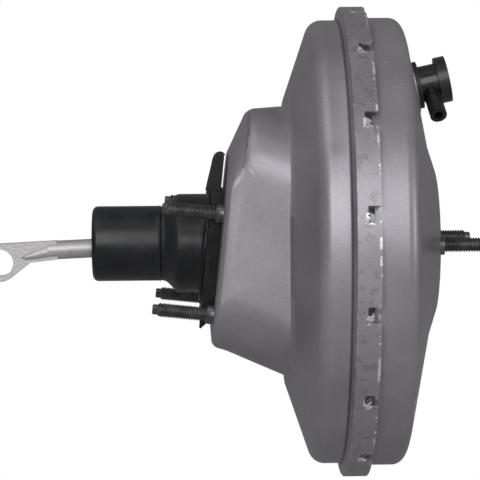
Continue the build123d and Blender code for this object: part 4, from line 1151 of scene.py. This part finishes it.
@dataclass
class RearShellSkin:
    """Copy of the rear shell with an even boss wall and soft bends, in millimetres."""

    face_x: float = -122.2
    tilt: float = 6.0
    knee_depth: float = 9.1
    base_depth: float = 36.7
    draw_in: float = 0.033
    low_depth: float = 3.0
    soft_low: float = 5.2
    soft_high: float = 9.0
    wall: float = 2.6
    face: BossSection = BossSection(71.0, 50.4, -53.8, 24.0)
    knee: BossSection = BossSection(72.5, 76.9, -56.6, 36.0)
    base: BossSection = BossSection(79.0, 77.0, -74.2, 64.0)
    band: tuple[float, float, float, float] = (-54.5, -41.0, 126.0, 133.0)
    shaded_knee_corner: float = 34.0
    shaded_base_corner: float = 40.0
    bend_steps: tuple[float, ...] = (1.5, 3.5, 6.0)
    knee_reach: float = 0.2
    knee_least_deg: float = 30.0
    knee_round: float = 3.8
    knee_segments: int = 6

    def depth(self, place: Vector) -> float:
        """Depth of a point in metres below the tilted face, in millimetres."""
        tilt = math.radians(self.tilt)
        return (place.x / MM - self.face_x) * math.cos(tilt) - place.z / MM * math.sin(tilt)

    def boss_distance(self, place: Vector, shaded: bool = False) -> float:
        """Distance of a point outside the boss's wall, in millimetres.

        Args:
            place: the point, in metres.
            shaded: whether the corners are the tighter ones that the shading follows.

        Returns:
            The distance, negative inside the wall.
        """
        knee, base = self.knee, self.base
        if shaded:
            knee = replace(knee, corner=self.shaded_knee_corner)
            base = replace(base, corner=self.shaded_base_corner)
        depth = self.depth(place)
        tilt = math.radians(self.tilt)
        up = (place.x / MM - self.face_x) * math.sin(tilt) + place.z / MM * math.cos(tilt)
        if depth < self.knee_depth:
            section = self.face.mixed(knee, depth / self.knee_depth)
        else:
            run = self.base_depth - up * math.sin(tilt) - self.knee_depth
            section = knee.mixed(base, (depth - self.knee_depth) / run)
        return section.distance(place.y / MM, up)

    def boss_slope(self, place: Vector) -> Vector:
        """Outward direction of the boss's wall, averaged over its bends."""
        total = Vector()
        for axis in range(3):
            for step in self.bend_steps:
                ahead, behind = place.copy(), place.copy()
                ahead[axis] += step * MM
                behind[axis] -= step * MM
                rise = self.boss_distance(ahead, True) - self.boss_distance(behind, True)
                total[axis] += rise / step
        return total.normalized()

    def even_wall(self, mesh: bpy.types.Mesh) -> None:
        """Merge the shell's triangles and draw in the bend of its boss."""
        shape = bmesh.new()
        shape.from_mesh(mesh)
        bmesh.ops.remove_doubles(shape, verts=shape.verts, dist=0.002 * MM)
        least = math.radians(self.knee_least_deg)
        knee = [
            edge for edge in shape.edges
            if all(abs(self.depth(end.co) - self.knee_depth) < self.knee_reach for end in edge.verts)
            and edge.calc_face_angle(0.0) > least
        ]
        LOG.info("rear_shell_skin: %d knee edges rounded", len(knee))
        bmesh.ops.bevel(
            shape, geom=knee, offset=self.knee_round * MM, segments=self.knee_segments, profile=0.5,
            affect="EDGES", clamp_overlap=False,
        )
        for corner in shape.verts:
            depth = self.depth(corner.co)
            if self.low_depth < depth < self.base_depth:
                rise = min((depth - self.low_depth) / (self.knee_depth - self.low_depth), 1.0)
                fall = min((self.base_depth - depth) / (self.base_depth - self.knee_depth), 1.0)
                corner.co.y *= 1.0 - self.draw_in * rise * fall
        shape.to_mesh(mesh)
        shape.free()

    def soften(self, mesh: bpy.types.Mesh) -> None:
        """Set the normals of the boss's wall and of the rim's round band."""
        low_x, high_x, low_r, high_r = self.band
        normals = [Vector(value.vector) for value in mesh.corner_normals]
        for polygon in mesh.polygons:
            flat = polygon.normal
            for loop in polygon.loop_indices:
                place = mesh.vertices[mesh.loops[loop].vertex_index].co
                radius = math.hypot(place.y, place.z) / MM
                if low_x < place.x / MM < high_x and low_r < radius < high_r:
                    outward = Vector((0.0, place.y, place.z)).normalized()
                    facing_out = flat.dot(outward)
                    if abs(facing_out) > 0.93:
                        normals[loop] = outward * math.copysign(1.0, facing_out)
                    continue
                depth = self.depth(place)
                if self.soft_low < depth < 1.3 * self.base_depth and abs(self.boss_distance(place)) < self.wall:
                    outward = self.boss_slope(place)
                    facing_out = flat.dot(outward)
                    if abs(facing_out) > 0.70:
                        share = min((depth - self.soft_low) / (self.soft_high - self.soft_low), 1.0)
                        normals[loop] = normals[loop].lerp(outward * math.copysign(1.0, facing_out), share).normalized()
        mesh.normals_split_custom_set(normals)

    def build(self, node: bpy.types.Object, shop: Paintshop) -> bpy.types.Object:
        """Copy the shell and let the copy stand for it.

        Args:
            node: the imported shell.
            shop: the finishes.

        Returns:
            The finished piece.
        """
        mesh = node.data.copy()
        mesh.name = "rear_shell_skin"
        self.even_wall(mesh)
        mesh.materials.clear()
        mesh.materials.append(shop["shell_paint"])
        smooth(mesh, 32.0)
        self.soften(mesh)
        piece = bpy.data.objects.new("rear_shell_skin", mesh)
        bpy.context.scene.collection.objects.link(piece)
        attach(piece, Body.HOUSING.value)
        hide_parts("rear_shell")
        return piece


# ---- studio


@dataclass
class Studio:
    """Floor, light and camera of the photograph."""

    floor_z: float = -190.0
    look_at: tuple[float, float, float] = (-110.3, 0.0, 1.4)
    distance: float = 1200.0
    azimuth: float = -1.25
    elevation: float = 3.3
    roll: float = 0.43
    view_width: float = 272.2
    ambient: float = 0.065
    gloss_share: float = 0.16

    def floor(self) -> None:
        """Make the pale floor."""
        def build(shape: bmesh.types.BMesh) -> None:
            corners = ((-6, -6), (6, -6), (6, 6), (-6, 6))
            shape.faces.new([shape.verts.new((x, y, self.floor_z * MM)) for x, y in corners])

        material = bpy.data.materials.new("studio_floor")
        material.use_nodes = True
        tree = NodeTree(material.node_tree)
        end = material.node_tree.nodes["Material Output"]
        shader = material.node_tree.nodes["Principled BSDF"]
        shader.inputs["Base Color"].default_value = (0.42, 0.42, 0.42, 1.0)
        shader.inputs["Roughness"].default_value = 0.9
        path = tree.node("ShaderNodeLightPath").outputs
        gloss = tree.maths("MULTIPLY", path["Is Glossy Ray"], self.gloss_share)
        seen = tree.maths("MAXIMUM", path["Is Camera Ray"], gloss)
        glow = tree.node("ShaderNodeEmission", {"Color": (1, 1, 1, 1), "Strength": 1.0})
        mixed = tree.node("ShaderNodeMixShader", {0: seen, 1: shader.outputs[0], 2: glow.outputs[0]})
        tree.feed(mixed.outputs[0], end.inputs["Surface"])
        new_piece("studio_floor", build, material)

    def world(self) -> None:
        """Light the room softly and show it white to the camera."""
        world = bpy.data.worlds.new("studio")
        bpy.context.scene.world = world
        world.use_nodes = True
        tree = NodeTree(world.node_tree)
        ground = world.node_tree.nodes["Background"]
        path = tree.node("ShaderNodeLightPath").outputs
        gloss = tree.maths("MULTIPLY", path["Is Glossy Ray"], self.gloss_share)
        seen = tree.maths("MAXIMUM", tree.maths("MAXIMUM", path["Is Camera Ray"], path["Is Transmission Ray"]), gloss)
        tree.feed(tree.mix(seen, (self.ambient,) * 3, (1.0, 1.0, 1.0)), ground.inputs["Color"])

    def lamp(self, name: str, place: Sequence[float], size: Sequence[float], power: float) -> None:
        """Add one soft lamp that looks at the booster.

        Args:
            name: the lamp's name.
            place: its position in metres.
            size: its width and height in metres.
            power: its power in watts.
        """
        light = bpy.data.lights.new(name, "AREA")
        light.shape = "RECTANGLE"
        light.size, light.size_y = size
        light.energy = power
        lamp = bpy.data.objects.new(name, light)
        lamp.location = place
        aim = Vector(self.look_at) * MM - Vector(place)
        lamp.rotation_mode = "QUATERNION"
        lamp.rotation_quaternion = aim.to_track_quat("-Z", "Y")
        bpy.context.scene.collection.objects.link(lamp)

    def camera(self) -> None:
        """Put the camera where the photograph was taken from."""
        turn, rise, roll = (math.radians(v) for v in (self.azimuth, self.elevation, self.roll))
        back = Vector((math.sin(turn) * math.cos(rise), -math.cos(turn) * math.cos(rise), math.sin(rise)))
        right = Vector((math.cos(turn), math.sin(turn), 0.0))
        up = back.cross(right)
        tilted_right = right * math.cos(roll) - up * math.sin(roll)
        tilted_up = up * math.cos(roll) + right * math.sin(roll)
        pose = Matrix((tilted_right, tilted_up, back)).transposed().to_4x4()
        pose.translation = (Vector(self.look_at) + back * self.distance) * MM
        lens = bpy.data.cameras.new("photo_camera")
        lens.sensor_width = 36.0
        lens.lens = lens.sensor_width * self.distance / self.view_width
        lens.clip_start, lens.clip_end = 0.05, 50.0
        camera = bpy.data.objects.new("photo_camera", lens)
        camera.matrix_world = pose
        bpy.context.scene.collection.objects.link(camera)
        bpy.context.scene.camera = camera

    def build(self) -> None:
        """Set up the whole studio."""
        bpy.context.scene.view_settings.view_transform = "Standard"
        self.floor()
        self.world()
        self.lamp("front_softbox", (-0.35, -1.8, 0.68), (1.3, 1.3), 20.5)
        self.lamp("top_softbox", (-0.8, -0.5, 1.4), (1.0, 1.0), 3.4)
        self.lamp("side_softbox", (1.5, -1.1, 0.35), (0.8, 0.8), 6.5)
        self.camera()


def studs(shop: Paintshop) -> list[bpy.types.Object]:
    """Make both groups of studs.

    Args:
        shop: the finishes.

    Returns:
        The pieces.
    """
    tree = thread_tree()
    tilt, drop = math.radians(6.0), 8.8
    groups = (
        ThreadedStuds(
            "cylinder_studs", "master_cylinder_studs", (-0.84, 0, 0), (1, 0, 0), 79.4, 0.0, 1, 26.24,
            5.5, -5.05, 2.0, 6.95,
        ),
        ThreadedStuds(
            "bulkhead_studs", "mounting_studs",
            (-122.2 - drop * math.sin(tilt), 0, -drop * math.cos(tilt)), (-math.cos(tilt), 0, math.sin(tilt)),
            108.0, 55.0, 2, 33.5, 5.2, -2.0, 4.0, 5.1, shank=0.2,
        ),
    )
    return [group.build(tree, shop) for group in groups]


def main() -> None:
    """Build every piece in order and report it."""
    logging.basicConfig(level=logging.INFO, format="%(name)s %(message)s")
    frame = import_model()
    shop = Paintshop()
    shop.dress_nodes(frame["nodes"])
    for piece in studs(shop) + springs(shop) + [RodTongue().build(shop), BracketHorns().build(shop)]:
        LOG.info("%s: %d faces", piece.name, len(piece.data.polygons))
    skin = RearShellSkin().build(frame["nodes"]["rear_shell"], shop)
    LOG.info("%s: %d faces", skin.name, len(skin.data.polygons))
    boot = DustBoot()
    boot.build(shop)
    for piece in boot.parts:
        LOG.info("%s: %d faces", piece.name, len(piece.data.polygons))
    Studio().build()


if __name__ == "__main__":
    main()
